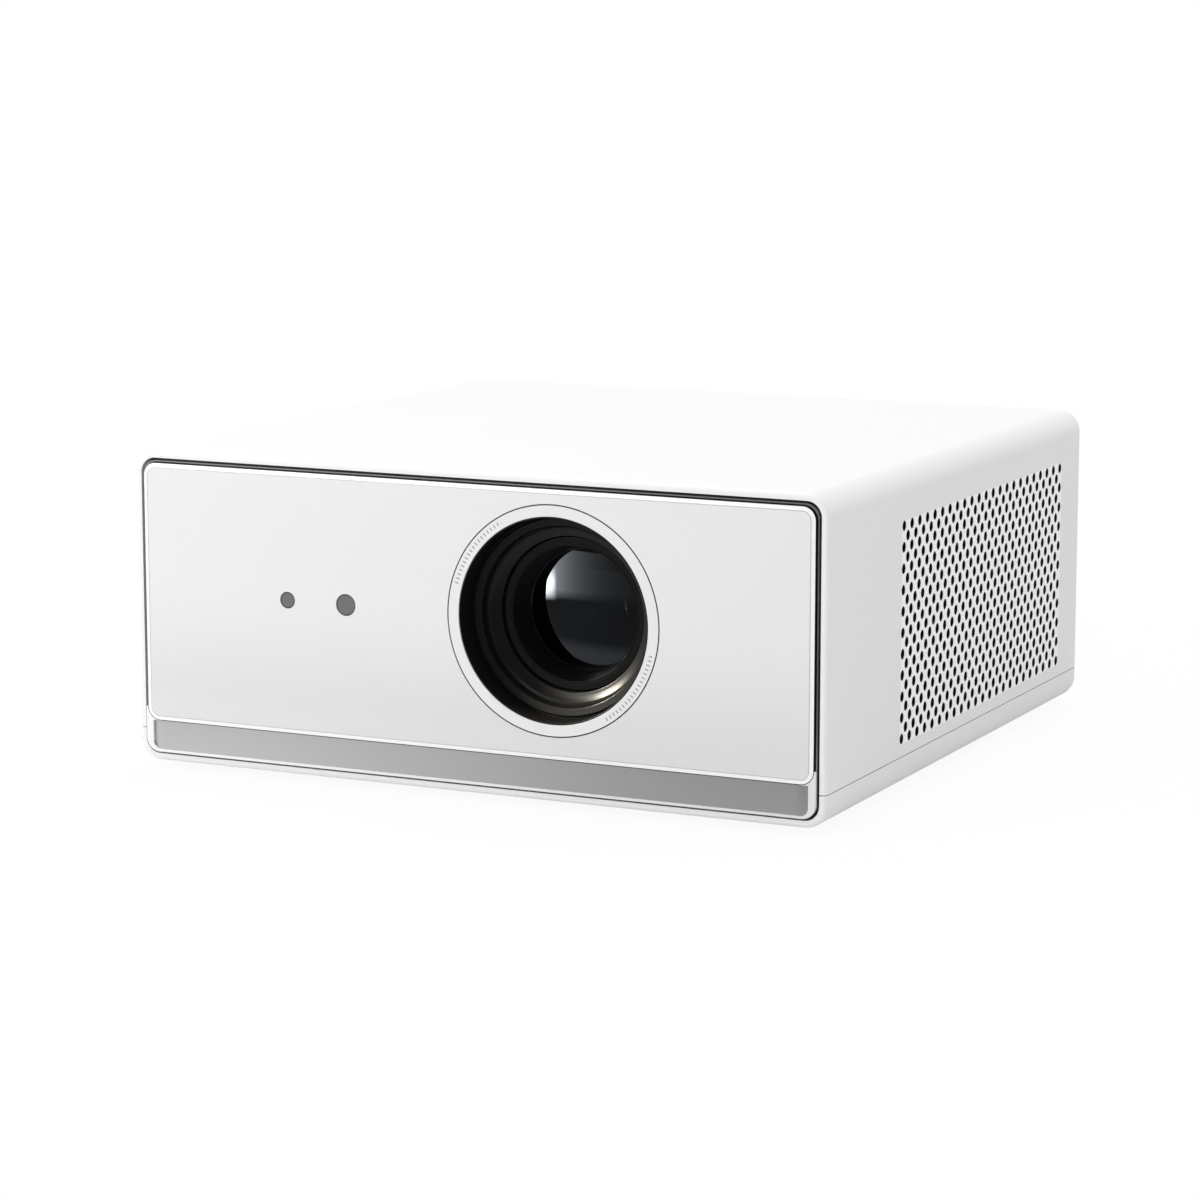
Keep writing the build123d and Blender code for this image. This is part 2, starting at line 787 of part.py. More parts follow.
def trim_strip():
    """The satin metal band, whose ends curve back."""
    half = bezel_half - strip_side
    back = glass_back
    front = back - strip_thickness
    flat = half - strip_roll_length
    roll = front + strip_roll_depth
    middle_x = flat + strip_roll_length * 0.55
    middle_y = front + strip_roll_depth * 0.55**2
    edges = [
        Line((-half, back), (-half, roll)),
        ThreePointArc((-half, roll), (-middle_x, middle_y), (-flat, front)),
        Line((-flat, front), (flat, front)),
        ThreePointArc((flat, front), (middle_x, middle_y), (half, roll)),
        Line((half, roll), (half, back)),
        Line((half, back), (-half, back)),
    ]
    profile = along_z(make_face(edges), floor_top, glass_bottom)
    return profile & along_y(strip_face(), front, back)


def sensor_window(x, radius):
    return rod_y(x, sensor_z, radius, front_face + window_inset, glass_back)


def sensor_board():
    """A small board behind the two windows, with its two sensors."""
    back = carrier_back + sensor_board_stand
    x = (near_window_x - sensor_board_margin, far_window_x + sensor_board_margin)
    board = block(x, (back, back + board_thickness), around(sensor_z, sensor_board_height))
    for middle, (width, height) in ((near_window_x, near_sensor), (far_window_x, far_sensor)):
        board += block(around(middle, width), (carrier_back, back), around(sensor_z, height))
    return board


def lens_trim_ring():
    return tube(ring_radius, mouth_radius, 0.0, ring_depth)


def lens_hood():
    """The black stepped cone between the front ring and the barrel."""
    flange_back = ring_depth + hood_flange
    lip_back = ring_depth + hood_lip_depth
    outer_start = hood_lip_radius + hood_wall
    return turned(
        (hood_lip_radius, ring_depth),
        (hood_flange_radius, ring_depth),
        (hood_flange_radius, flange_back),
        (outer_start, flange_back),
        (hood_end_radius + hood_wall, hood_end_depth),
        (hood_end_radius, hood_end_depth),
        (hood_lip_radius - hood_step, lip_back),
        (hood_lip_radius, lip_back),
    )


def lens_barrel():
    """The sliding barrel: a pocket for the front lens, a shoulder, a bore and a rear seat."""
    seat = barrel_front + retainer_length + front_lens_rim + run_gap
    rear_seat = barrel_back - rear_lens_thickness - rear_lens_inset
    return turned(
        (pocket_radius, barrel_front),
        (barrel_radius, barrel_front),
        (barrel_radius, barrel_back),
        (rear_lens_radius + seat_gap, barrel_back),
        (rear_lens_radius + seat_gap, rear_seat),
        (rear_lens_radius - lens_shoulder, rear_seat),
        (barrel_radius - bore_wall, seat),
        (pocket_radius, seat),
    )


def lens_retainer():
    """The conical ring that holds the front lens in its pocket."""
    outer = pocket_radius - run_gap
    back = barrel_front + retainer_length
    return turned(
        (pocket_radius - retainer_rim, barrel_front),
        (outer, barrel_front),
        (outer, back),
        (lens_clear_radius, back),
    )


def front_lens():
    """The front element, which bulges forward through its retainer."""
    rim = lens_clear_radius - run_gap
    edge = pocket_radius - seat_gap
    front = front_face + barrel_front + retainer_length
    back = front + front_lens_rim
    edges = [
        Line((0, back), (edge, back)),
        Line((edge, back), (edge, front)),
        Line((edge, front), (rim, front)),
        dome((rim, front), (0, front - front_lens_sag)),
        Line((0, front - front_lens_sag), (0, back)),
    ]
    return turned_face(make_face(edges))


def dome(rim, crown):
    """The arc from a lens's rim to its crown, where it lies square to the axis."""
    sag = rim[1] - crown[1]
    radius = (rim[0] ** 2 + sag**2) / (2 * sag)
    half = math.asin(rim[0] / radius) / 2
    middle = (radius * math.sin(half), crown[1] + radius * (1 - math.cos(half)))
    return ThreePointArc(rim, middle, crown)


def rear_lens():
    """The rear element, flat in front and bulging towards the panel."""
    front = front_face + barrel_back - rear_lens_thickness - rear_lens_inset
    back = front + rear_lens_thickness - rear_lens_sag
    edges = [
        Line((0, front), (rear_lens_radius, front)),
        Line((rear_lens_radius, front), (rear_lens_radius, back)),
        dome((rear_lens_radius, back), (0, back + rear_lens_sag)),
        Line((0, back + rear_lens_sag), (0, front)),
    ]
    return turned_face(make_face(edges))


def lens_mount():
    """The fixed tube that the barrel slides in, on a flange bolted to the engine."""
    inner = barrel_radius + run_gap
    mount = tube(inner + mount_wall, inner, mount_front, mount_back)
    flange = block(engine_x(), (engine_front - mount_flange, engine_front), (engine_bottom, engine_top))
    bore = rod_y(lens_x, lens_z, inner, engine_front - mount_flange, engine_front)
    return mount + (flange - bore)


def tooth_outline(teeth):
    """A spur gear's outline about the origin, with a tooth centred on the +X axis."""
    pitch_radius = gear_module * teeth / 2
    tip = pitch_radius + gear_module * tooth_tip
    root = pitch_radius - gear_module * tooth_root
    root_half, tip_half = tooth_root_half, tooth_tip_half
    corners = ((-root_half, root), (-tip_half, tip), (tip_half, tip), (root_half, root))
    points = []
    for index in range(teeth):
        for offset, radius in corners:
            angle = (index + offset) * 2 * math.pi / teeth
            points.append((radius * math.cos(angle), radius * math.sin(angle)))
    return make_face(Polyline(*points, close=True))


def focus_ring():
    """The toothed ring whose thread drives the barrel."""
    outline = tooth_outline(ring_teeth) - Circle(barrel_radius + run_gap)
    outline = Pos(lens_x, lens_z) * Rot(0, 0, motor_angle) * outline
    return along_y(outline, front_face + gear_front, front_face + gear_back)


def pinion_axis():
    """Where the motor's shaft stands, with the two gears in mesh."""
    reach = gear_module * (ring_teeth + pinion_teeth) / 2 + gear_play
    angle = math.radians(motor_angle)
    return lens_x + reach * math.cos(angle), lens_z + reach * math.sin(angle)


def motor_pinion():
    """The motor's gear and shaft; a gap between its teeth faces the ring."""
    x, z = pinion_axis()
    half_step = 180.0 / pinion_teeth
    outline = Pos(x, z) * Rot(0, 0, motor_angle + 180.0 + half_step) * tooth_outline(pinion_teeth)
    gear = along_y(outline, front_face + gear_front, front_face + gear_back)
    return gear + rod_y(x, z, motor_shaft_radius, front_face + gear_back, motor_bore_end() - shaft_end_gap)


def motor_front():
    return engine_front - mount_flange - motor_length


def motor_bore_end():
    return engine_front - mount_flange - motor_end_wall


def focus_motor():
    """The flat motor on the lens mount's flange, with a bore for its shaft."""
    x, z = pinion_axis()
    can = rod_y(x, z, motor_radius, motor_front(), motor_front() + motor_length)
    return can - rod_y(x, z, motor_shaft_radius + press_gap, motor_front(), motor_bore_end())


def engine_x(inset=0.0):
    return (lens_x - engine_width / 2 + inset, lens_x + engine_width / 2 - inset)


def engine_box():
    """The light-tight box behind the lens, open at the top for its lid."""
    floor = engine_bottom + engine_wall
    inside_y = (engine_front + engine_wall, engine_back - engine_wall)
    box = block(engine_x(), (engine_front, engine_back), (engine_bottom, engine_top))
    box -= block(engine_x(engine_wall), inside_y, (floor, engine_top))
    box -= rod_y(lens_x, lens_z, barrel_radius + lens_port_gap, engine_front, inside_y[0])
    box -= block(around(lens_x, light_window), (inside_y[1], engine_back), around(lens_z, light_window))
    for at in air_slot_at:
        slot = (engine_front + at, engine_front + at + air_slot[1])
        box -= block(around(lens_x, air_slot[0]), slot, (engine_bottom, floor))
    return box


def engine_lid():
    return block(engine_x(), (engine_front, engine_back), (engine_top, engine_top + lid_thickness))


def engine_sheet(at, thickness):
    """A sheet that stands across the engine on its floor."""
    start = engine_front + at
    z = (engine_bottom + engine_wall, engine_top - sheet_headroom)
    return block(engine_x(engine_wall + seat_gap), (start, start + thickness), z)


def light_funnel():
    """The four-sided reflector between the light source and the panel."""
    start = engine_back - engine_wall - funnel_length
    funnel_wide = engine_top - engine_bottom - 2 * funnel_margin
    slope = math.degrees(math.atan((funnel_wide - funnel_narrow) / 2 / funnel_length))
    mouth = Plane.XZ.offset(-start) * Pos(lens_x, lens_z)

    def skin(inset):
        width = funnel_wide - inset
        return extrude(mouth * Rectangle(width, width), -funnel_length, taper=slope)

    return skin(0) - skin(2 * funnel_wall)


def light_source():
    """The copper block with the light-emitting chip in front and bores for the heat pipes."""
    x = around(lens_x, block_width)
    source = block(x, (engine_back, engine_back + block_thickness), around(lens_z, block_width))
    chip_y = (engine_back - chip_height, engine_back)
    source += block(around(lens_x, chip_width), chip_y, around(lens_z, chip_width))
    for row in pipe_rows:
        source -= rod_x(engine_back + row, lens_z, pipe_radius + press_gap, *x)
    return source


def fin_stack_x():
    return (engine_x()[1] + fin_side_gap, fan_inner - seat_gap)


def pipe_columns():
    """Where the two pipes run through the fin stack."""
    middle = sum(fin_stack_x()) / 2
    half = (pipe_rows[1] - pipe_rows[0]) / 2
    return (middle - half, middle + half)


def heat_pipes():
    """Two pipes that carry the heat round the corner to the fins."""
    pipes = []
    for row, column in zip(pipe_rows, pipe_columns()):
        y = engine_back + row
        path = FilletPolyline(
            (lens_x - block_width / 2 + pipe_end, y, lens_z),
            (column, y, lens_z),
            (column, fin_stack_back - fin_stack_length + pipe_end, lens_z),
            radius=pipe_bend,
        )
        section = Plane(path @ 0, z_dir=path % 0) * Circle(pipe_radius)
        pipes.append(sweep(section, path).solid())
    return Compound(pipes)


def fin_stack():
    """The comb of cooling fins in front of the fan, with the pipes in its middle bar."""
    y = around(fan_y, fin_stack_length)
    comb = Pos(fan_y, lens_z) * Rectangle(fin_stack_length, fin_bar)
    pitch = (fin_stack_length - fin_thickness) / (fin_count - 1)
    for step in range(fin_count):
        fin_y = y[0] + fin_thickness / 2 + step * pitch
        comb += Pos(fin_y, fan_z) * Rectangle(fin_thickness, fin_stack_height)
    stack = along_x(comb, *fin_stack_x())
    for column in pipe_columns():
        stack -= rod_y(column, lens_z, pipe_radius + press_gap, *y)
    return stack


def exhaust_fan_frame():
    """The fan's square frame, with its duct, three struts and motor seat."""
    frame = block((fan_inner, fan_outer), around(fan_y, fan_size), around(fan_z, fan_size))
    frame = fillet(frame.edges().filter_by(Axis.X), fan_corner)
    frame -= rod_x(fan_y, fan_z, fan_duct_radius, fan_inner, fan_outer)
    seat = (fan_inner, fan_inner + fan_seat)
    frame += rod_x(fan_y, fan_z, fan_hub_radius, *seat)
    reach = (fan_hub_radius - web, fan_duct_radius + web)
    for turn in (0, 120, 240):
        strut = Pos(sum(reach) / 2, 0) * Rectangle(reach[1] - reach[0], fan_strut)
        frame += along_x(Pos(fan_y, fan_z) * Rot(0, 0, turn) * strut, *seat)
    return frame - rod_x(fan_y, fan_z, fan_axle_radius + run_gap, *seat)


def exhaust_impeller():
    """The fan's hub with seven curved, pitched blades and its shaft."""
    hub_x = (fan_inner + fan_seat + fan_hub_gap, fan_outer - fan_hub_gap)
    rotor = rod_x(fan_y, fan_z, fan_hub_radius, *hub_x)
    rotor += rod_x(fan_y, fan_z, fan_axle_radius, fan_inner, hub_x[0])
    axial = hub_x[1] - hub_x[0] - 2 * blade_end_gap
    blade = fan_blade(axial / math.cos(math.radians(fan_blade_pitch)))
    for index in range(fan_blades):
        turn = 360.0 * index / fan_blades
        rotor += Pos(sum(hub_x) / 2, fan_y, fan_z) * Rot(turn, 0, 0) * blade
    return rotor & rod_x(fan_y, fan_z, fan_blade_radius, fan_inner, fan_outer)


def fan_blade(chord):
    """One blade standing on the hub along +Z: a curved strip turned to its pitch."""
    half = chord / 2
    over = [(-half, 0), (-half / 3, blade_camber), (half / 3, blade_camber), (half, 0)]
    under = [(x, y - blade_thickness) for x, y in reversed(over)]
    section = Rot(0, 0, 90 - fan_blade_pitch) * make_face(Polyline(*over, *under, close=True))
    root = fan_hub_radius - web
    return extrude(Plane.XY.offset(root) * section, amount=fan_blade_radius + web - root)


def blower_housing():
    """The scroll that blows over the panel; its mouth faces the engine."""
    x = around(blower_x, blower_size)
    z = (floor_top, floor_top + blower_height)
    housing = block(x, around(blower_y, blower_size), z)
    housing = fillet(housing.edges().filter_by(Axis.Z).group_by(Axis.X)[0], blower_corner)
    inner_z = (z[0] + blower_wall, z[1] - blower_wall)
    chamber_radius = blower_wheel_radius + blower_chamber_gap
    housing -= rod_z(blower_x, blower_y, chamber_radius, *inner_z)
    mouth_y = blower_y - chamber_radius
    housing -= block((blower_x, x[1]), (mouth_y, mouth_y + blower_mouth), inner_z)
    return housing - rod_z(blower_x, blower_y, blower_inlet_radius, inner_z[1], z[1])


def blower_wheel():
    """The blower's drum of straight vanes on a disc."""
    low = floor_top + blower_wall + blower_floor_gap
    high = floor_top + blower_height - blower_wall - blower_top_gap
    wheel = rod_z(blower_x, blower_y, blower_wheel_radius, low, low + blower_disc)
    wheel += rod_z(blower_x, blower_y, blower_hub_radius, low + blower_disc, high - blower_hub_drop)
    middle = blower_wheel_radius - vane_size[0] / 2 - run_gap
    for index in range(blower_vanes):
        vane = Pos(middle, 0) * Rot(0, 0, vane_turn) * Rectangle(*vane_size)
        turn = Rot(0, 0, 360.0 * index / blower_vanes)
        wheel += along_z(Pos(blower_x, blower_y) * turn * vane, low + blower_disc, high)
    return wheel


def circuit_board(x, y, height):
    bottom = case_bottom + height
    return block(x, y, (bottom, bottom + board_thickness))


def main_board():
    """The computing board with its finned chip cooler."""
    board = circuit_board(main_board_x, main_board_y, main_board_height)
    top = case_bottom + main_board_height + board_thickness
    board += component(main_board_x, main_board_y, cooler_place, (*cooler_size, cooler_base), top)
    pitch = (cooler_size[0] - cooler_fin) / (cooler_fins - 1)
    for step in range(cooler_fins):
        place = (cooler_place[0] + step * pitch, cooler_place[1])
        fin = (cooler_fin, cooler_size[1], cooler_height)
        board += component(main_board_x, main_board_y, place, fin, top)
    return board


def component(board_x, board_y, place, size, top):
    """A block on a board, placed from the board's left and front edges."""
    x, y = board_x[0] + place[0], board_y[0] + place[1]
    return block((x, x + size[0]), (y, y + size[1]), (top, top + size[2]))


def power_board():
    """The mains supply: transformer, coil and storage capacitors on their board."""
    board = circuit_board(power_board_x, power_board_y, power_board_height)
    top = case_bottom + power_board_height + board_thickness
    for place, size in ((transformer_place, transformer_size), (choke_place, choke_size)):
        board += component(power_board_x, power_board_y, place, size, top)
    for x, y in capacitor_places:
        x, y = power_board_x[0] + x, power_board_y[0] + y
        board += rod_z(x, y, capacitor_radius, top, top + capacitor_height)
    return board


def sockets(places, width, height):
    """A row of sockets on the main board, each a shell open to the rear."""
    shells = []
    y = (rear_plate_y - socket_depth, rear_plate_y - socket_setback)
    z = (port_z, port_z + height)
    for x in places:
        shell = block(around(x, width), y, z)
        inside_x = around(x, width - 2 * socket_wall)
        inside_z = (z[0] + socket_wall, z[1] - socket_wall)
        shell -= block(inside_x, (y[0] + socket_back, y[1]), inside_z)
        shells.append(shell.solid())
    return Compound(shells)


def sound_socket():
    """The round sound socket: a block on the board and a nose through the plate."""
    y = (rear_plate_y - socket_depth, rear_plate_y - rear_plate - seat_gap)
    socket = block(around(sound_x, sound_block), y, (port_z, port_z + sound_block))
    socket += rod_y(sound_x, sound_z, sound_nose_radius, y[1], rear_plate_y)
    return socket - rod_y(sound_x, sound_z, sound_radius, y[0] + socket_back, rear_plate_y)


def inlet_front():
    return rear_plate_y - inlet_depth


def mains_inlet():
    """The mains inlet's shell, sunk into the rear plate, with two pins."""
    width, height = inlet_size
    floor_y = inlet_front() + inlet_back
    shell = block(around(inlet_x, width), (inlet_front(), rear_plate_y), around(inlet_z, height))
    inside = (around(inlet_x, width - 2 * inlet_wall), around(inlet_z, height - 2 * inlet_wall))
    shell -= block(inside[0], (floor_y, rear_plate_y), inside[1])
    for pin_x in (inlet_x - pin_spread, inlet_x + pin_spread):
        pin = (around(pin_x, pin_width), around(inlet_z, pin_width))
        shell += block(pin[0], (floor_y, rear_plate_y - pin_setback), pin[1])
    return shell


def button_back():
    """The rear of the collar's seat, behind the rear plate."""
    return rear_plate_y - rear_plate - seat_gap


def power_button():
    """The button's cap, held by a collar behind the rear plate."""
    collar_front = button_back() - collar[1]
    button = rod_y(button_x, button_z, button_radius, button_back(), rear_plate_y + button_proud)
    button += rod_y(button_x, button_z, button_radius + collar[0], collar_front, button_back())
    return button + rod_y(button_x, button_z, plunger_radius, collar_front - plunger_length, collar_front)


def switch_face():
    """Where the switch's face stands: just past the end of the plunger's travel."""
    return button_back() - collar[1] - plunger_length - button_travel - switch_gap


def switch_back():
    return switch_face() - switch_depth - board_thickness


def switch_bottom():
    return button_z - switch_width / 2


def button_switch():
    """The switch on its small upright board behind the button."""
    body_y = (switch_face() - switch_depth, switch_face())
    switch = block(around(button_x, switch_width), body_y, around(button_z, switch_width))
    board_z = (switch_bottom(), button_z + switch_board_rise)
    return switch + block(around(button_x, switch_board_width), (switch_back(), body_y[0]), board_z)


def speaker_x(side):
    outer = inner_half - speaker_inset
    return sorted((side * outer, side * (outer - speaker_box_width)))


def speaker_z():
    return floor_top + speaker_rise


def speaker_boxes():
    """Two sealed chambers, each open only where its driver sits."""
    boxes = []
    wall = speaker_box_wall
    z = (floor_top, ceiling - speaker_headroom)
    inner_y = (speaker_y[0] + wall, speaker_y[1] - wall)
    inner_z = (z[0] + wall, z[1] - wall)
    for side in (-1, 1):
        x = speaker_x(side)
        box = block(x, speaker_y, z) - block((x[0] + wall, x[1] - wall), inner_y, inner_z)
        outside = side * (inner_half - speaker_inset)
        mouth = sorted((outside, outside - side * wall))
        box -= rod_x(sum(speaker_y) / 2, speaker_z(), speaker_radius - speaker_rim + seat_gap, *mouth)
        boxes.append(box.solid())
    return Compound(boxes)


def speaker_drivers():
    """Two loudspeakers: rim, cone and magnet as one turned form each."""
    basket = speaker_radius - speaker_rim
    profile = [
        (0, -cap_depth),
        (cap_radius, -cone_depth),
        (basket - surround_width, surround_rise),
        (basket, rim_thickness),
        (speaker_radius, rim_thickness),
        (speaker_radius, 0.0),
        (basket, 0.0),
        (magnet_radius, -basket_depth),
        (magnet_radius, -magnet_depth),
        (0, -magnet_depth),
    ]
    driver = revolve(make_face(Polyline(*profile, close=True)), Axis.Y)
    drivers = []
    for side in (-1, 1):
        place = Pos(side * (inner_half - speaker_inset), sum(speaker_y) / 2, speaker_z())
        drivers.append((place * Rot(0, 0, -90 * side) * driver).solid())
    return Compound(drivers)


def radio_aerial():
    """The printed aerial strip, clipped inside the top."""
    y = around(rear_face - aerial_setback - aerial_width / 2, aerial_width)
    return block(aerial_x, y, (ceiling - aerial_thickness, ceiling))


def rubber_feet():
    feet = [rod_z(x, y, foot_radius, 0.0, case_bottom + foot_recess) for x, y in foot_places()]
    return Compound([foot.solid() for foot in feet])


def case_screws():
    """Four screws that pull the tray up against the cover's bosses."""
    screws = []
    head_top = post_height - screw_seat
    for x, y in post_places():
        screw = rod_z(x, y, screw_head_radius, head_top - screw_head, head_top)
        screw += rod_z(x, y, screw_radius, head_top, post_height + screw_grip)
        screws.append(screw.solid())
    return Compound(screws)


def tripod_nut():
    """The threaded insert for a ceiling mount or tripod."""
    ring = Circle(tripod_insert_radius - press_gap) - Circle(tripod_thread_radius)
    return along_z(Pos(0, tripod_y) * ring, case_bottom, case_bottom + tripod_insert_length)


def knob_bottom():
    return pad_lift + pad_height


def knob_top():
    return knob_bottom() + knob_width


def bush_base():
    """The top of the pocket's roof, where the threaded bush begins."""
    return knob_top() + pocket_wall


def foot_bush():
    """The brass bush that the foot screws into."""
    ring = Circle(bush_radius - press_gap) - Circle(stem_radius + run_gap)
    return along_z(Pos(0, stem_y) * ring, bush_base() - bush_seat, bush_base() + bush_length)


def stem_bottom():
    return knob_bottom() + knob_web


def foot_stem():
    return rod_z(0, stem_y, stem_radius, stem_bottom(), stem_bottom() + stem_length)


def foot_knob():
    """The knob on the stem's lower end, with finger notches round its rim."""
    outline = Circle(knob_radius)
    notch = Pos(knob_radius, 0) * Rot(0, 0, 45) * Rectangle(notch_width, notch_width)
    for index in range(knob_notches):
        outline -= Rot(0, 0, 360.0 / knob_notches * index) * notch
    knob = along_z(Pos(0, stem_y) * outline, knob_bottom(), knob_top())
    return knob - rod_z(0, stem_y, stem_radius + run_gap, stem_bottom() - run_gap, knob_top())


def foot_pad():
    """The rubber pad under the knob."""
    return rod_z(0, stem_y, pad_radius, pad_lift, knob_bottom())


def build():
    """Every piece of the projector, by name."""
    return {
        "top_cover": top_cover(),
        "bottom_tray": bottom_tray(),
        "rear_panel": rear_panel(),
        "socket_plate": socket_plate(),
        "outlet_grille": outlet_grille(),
        "side_grille": side_grille(),
        "inlet_grille": inlet_grille(),
        "front_carrier": front_carrier(),
        "front_bezel": front_bezel(),
        "front_glass": front_glass(),
        "strip_frame": strip_frame(),
        "trim_strip": trim_strip(),
        "near_window": sensor_window(near_window_x, near_window_radius),
        "far_window": sensor_window(far_window_x, far_window_radius),
        "sensor_board": sensor_board(),
        "lens_trim_ring": lens_trim_ring(),
        "lens_hood": lens_hood(),
        "lens_barrel": lens_barrel(),
        "lens_retainer": lens_retainer(),
        "front_lens": front_lens(),
        "rear_lens": rear_lens(),
        "lens_mount": lens_mount(),
        "focus_ring": focus_ring(),
        "motor_pinion": motor_pinion(),
        "focus_motor": focus_motor(),
        "engine_box": engine_box(),
        "engine_lid": engine_lid(),
        "front_fresnel": engine_sheet(front_fresnel_at, sheet_thickness),
        "lcd_panel": engine_sheet(panel_at, panel_thickness),
        "rear_fresnel": engine_sheet(rear_fresnel_at, sheet_thickness),
        "heat_glass": engine_sheet(heat_glass_at, sheet_thickness),
        "light_funnel": light_funnel(),
        "light_source": light_source(),
        "heat_pipes": heat_pipes(),
        "fin_stack": fin_stack(),
        "exhaust_fan_frame": exhaust_fan_frame(),
        "exhaust_impeller": exhaust_impeller(),
        "blower_housing": blower_housing(),
        "blower_wheel": blower_wheel(),
        "main_board": main_board(),
        "power_board": power_board(),
        "video_sockets": sockets(video_x, *video_size),
        "data_sockets": sockets(data_x, *data_size),
        "sound_socket": sound_socket(),
        "mains_inlet": mains_inlet(),
        "power_button": power_button(),
        "button_switch": button_switch(),
        "speaker_boxes": speaker_boxes(),
        "speaker_drivers": speaker_drivers(),
        "radio_aerial": radio_aerial(),
        "rubber_feet": rubber_feet(),
        "case_screws": case_screws(),
        "tripod_nut": tripod_nut(),
        "foot_bush": foot_bush(),
        "foot_stem": foot_stem(),
        "foot_knob": foot_knob(),
        "foot_pad": foot_pad(),
    }


os.makedirs("parts", exist_ok=True)
for name, piece in build().items():
    export_step(piece, f"parts/{name}.step")
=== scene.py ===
import json
import math

import bmesh
import bpy
import numpy as np
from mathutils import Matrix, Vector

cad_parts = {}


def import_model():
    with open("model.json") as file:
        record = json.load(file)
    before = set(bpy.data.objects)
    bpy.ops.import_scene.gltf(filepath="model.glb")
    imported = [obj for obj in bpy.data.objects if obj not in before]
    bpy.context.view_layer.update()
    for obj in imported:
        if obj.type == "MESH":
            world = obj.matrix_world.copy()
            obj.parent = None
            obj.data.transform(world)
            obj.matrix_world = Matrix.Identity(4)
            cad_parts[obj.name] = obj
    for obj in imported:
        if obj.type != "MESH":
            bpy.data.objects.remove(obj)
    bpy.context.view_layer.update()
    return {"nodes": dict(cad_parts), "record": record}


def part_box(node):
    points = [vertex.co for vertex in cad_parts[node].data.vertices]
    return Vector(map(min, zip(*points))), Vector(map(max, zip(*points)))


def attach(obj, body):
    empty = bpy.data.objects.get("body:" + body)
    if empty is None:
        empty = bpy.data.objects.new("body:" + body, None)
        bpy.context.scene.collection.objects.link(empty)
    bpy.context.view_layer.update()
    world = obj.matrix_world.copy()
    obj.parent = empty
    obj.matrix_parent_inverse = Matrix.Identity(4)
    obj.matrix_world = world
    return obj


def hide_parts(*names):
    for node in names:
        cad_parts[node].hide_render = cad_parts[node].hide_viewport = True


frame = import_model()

# A small home-theatre projector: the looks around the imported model.
# Metres, Z up, the lens looks towards -Y.
mm = 0.001

# Camera, fitted to the photograph
camera_place = (0.6319, -1.3417, 0.3064)
camera_azimuth = 25.66
camera_pitch = 9.657
camera_lens = 112.76

# Side grille
hole_pitch = 7.98 * mm
hole_radius = 2.0 * mm
hole_round = 0.2 * mm  # rounding at a hole's mouth
hole_sides = 16
mouth_rings = 4  # rings of points in a mouth's rounding
grille_border = 5.0 * mm
skin = 0.25 * mm  # the white skin of the plate; behind it the hole walls are painted near black, as painted shade inside the holes
flat_share = 0.99  # a face of the plate is flat where its normal has at least this share along X
same_place = 1e-6  # points closer than this are one

# Lens: radii and depths behind the front of the glass; the profiles are in millimetres
front_face = -140.0 * mm
turns = 192  # points round the lens
hood_profile = (
    (37.75, 0.25), (38.2, 0.25), (38.2, 3.1), (44.9, 3.1), (44.9, 4.5), (39.6, 4.5), (38.7, 11.8),
    (35.2, 14.5), (31.2, 18.4), (31.2, 22.0), (29.0, 22.0), (29.0, 16.6), (30.2, 16.2), (31.4, 15.65),
    (32.5, 14.95), (33.4, 14.0), (33.8, 12.9), (33.8, 9.9), (36.6, 9.3), (36.9, 10.6), (37.75, 10.6),
)
ring_profile = ((38.3, 0.0), (42.8, 0.0), (42.8, 3.0), (38.3, 3.0))
collar_profile = ((25.3, 18.2), (25.95, 18.2), (25.95, 29.0), (23.0, 29.0), (24.1, 23.5))
barrel_profile = (
    (26.0, 18.2), (28.5, 18.2), (28.5, 70.5), (20.3, 70.5),
    (20.3, 64.0), (18.0, 64.0), (21.0, 32.2), (26.0, 32.2),
)
corner_round = 0.25  # in millimetres, like the profiles
corner_steps = 4
corner_share = 0.3  # the most of a side that the arc at its end may take
corner_hold = 1.3  # the points beside an arc lie this many times as far from the corner as its ends
lens_rim = 22.95 * mm
lens_edge = 25.8 * mm
lens_front = 29.0 * mm
lens_thickness = 3.0 * mm
lens_sag = 1.5 * mm
lens_land = 0.5 * mm  # the flat round the dome
land_drop = 0.2 * mm  # from the dome's edge down to the flat
dome_rings = 40

# Front glass: half its width, its bottom and top, corner radius, bevel
glass_half = 137.9 * mm
glass_z = (19.1 * mm, 118.4 * mm)
glass_corner = 5.0 * mm
bevel_width = 1.4 * mm
bevel_line = 0.35 * mm  # the fine line along the bevel
edge_depth = 0.5 * mm  # further back than this the glass's edge is dark
bezel_black = 0.5 * mm  # how far the black of the bezel reaches from the glass
window_rim = 0.4 * mm  # the dark ring at a sensor window's edge, inwards and outwards
glass_shade_heights = (15 * mm, 75 * mm)  # heights between which the glass is painted paler upwards: painted shade, darker towards the bottom

# Marks on the lens ring, as shares of a turn from +X, and radii
mark_inner = 39.9 * mm
mark_outer = 41.3 * mm
mark_arcs = ((0.335, 0.460), (0.838, 0.965))
marks_round = 150
mark_share = 0.3  # of each step round the ring
ring_gap_shade_radius = 42.42 * mm  # outside this the ring is painted dark, as painted shade of the gap round it

# Colours that more than one finish uses, or that a pattern mixes
shell_white = (0.83, 0.83, 0.832)
near_black = (0.02, 0.02, 0.021)
# The glass's face colours, low and high: painted shade, darker towards the bottom of the glass
glass_shaded, glass_lit = (0.69, 0.69, 0.695), (0.785, 0.785, 0.79)
bevel_white, line_grey = (0.93, 0.935, 0.94), (0.5, 0.505, 0.51)
bezel_grey = (0.5, 0.49, 0.5)
window_grey, window_dark = (0.15, 0.148, 0.145), (0.05, 0.049, 0.048)
# The second of these colours is painted shade inside the grille's holes.
web_white, hole_shade_black = (0.97, 0.975, 0.985), (0.012, 0.012, 0.013)
# The last of these colours is painted shade of the gap round the lens ring.
ring_white, mark_grey, ring_gap_shade = (0.77, 0.77, 0.77), (0.33, 0.33, 0.34), (0.05, 0.05, 0.05)

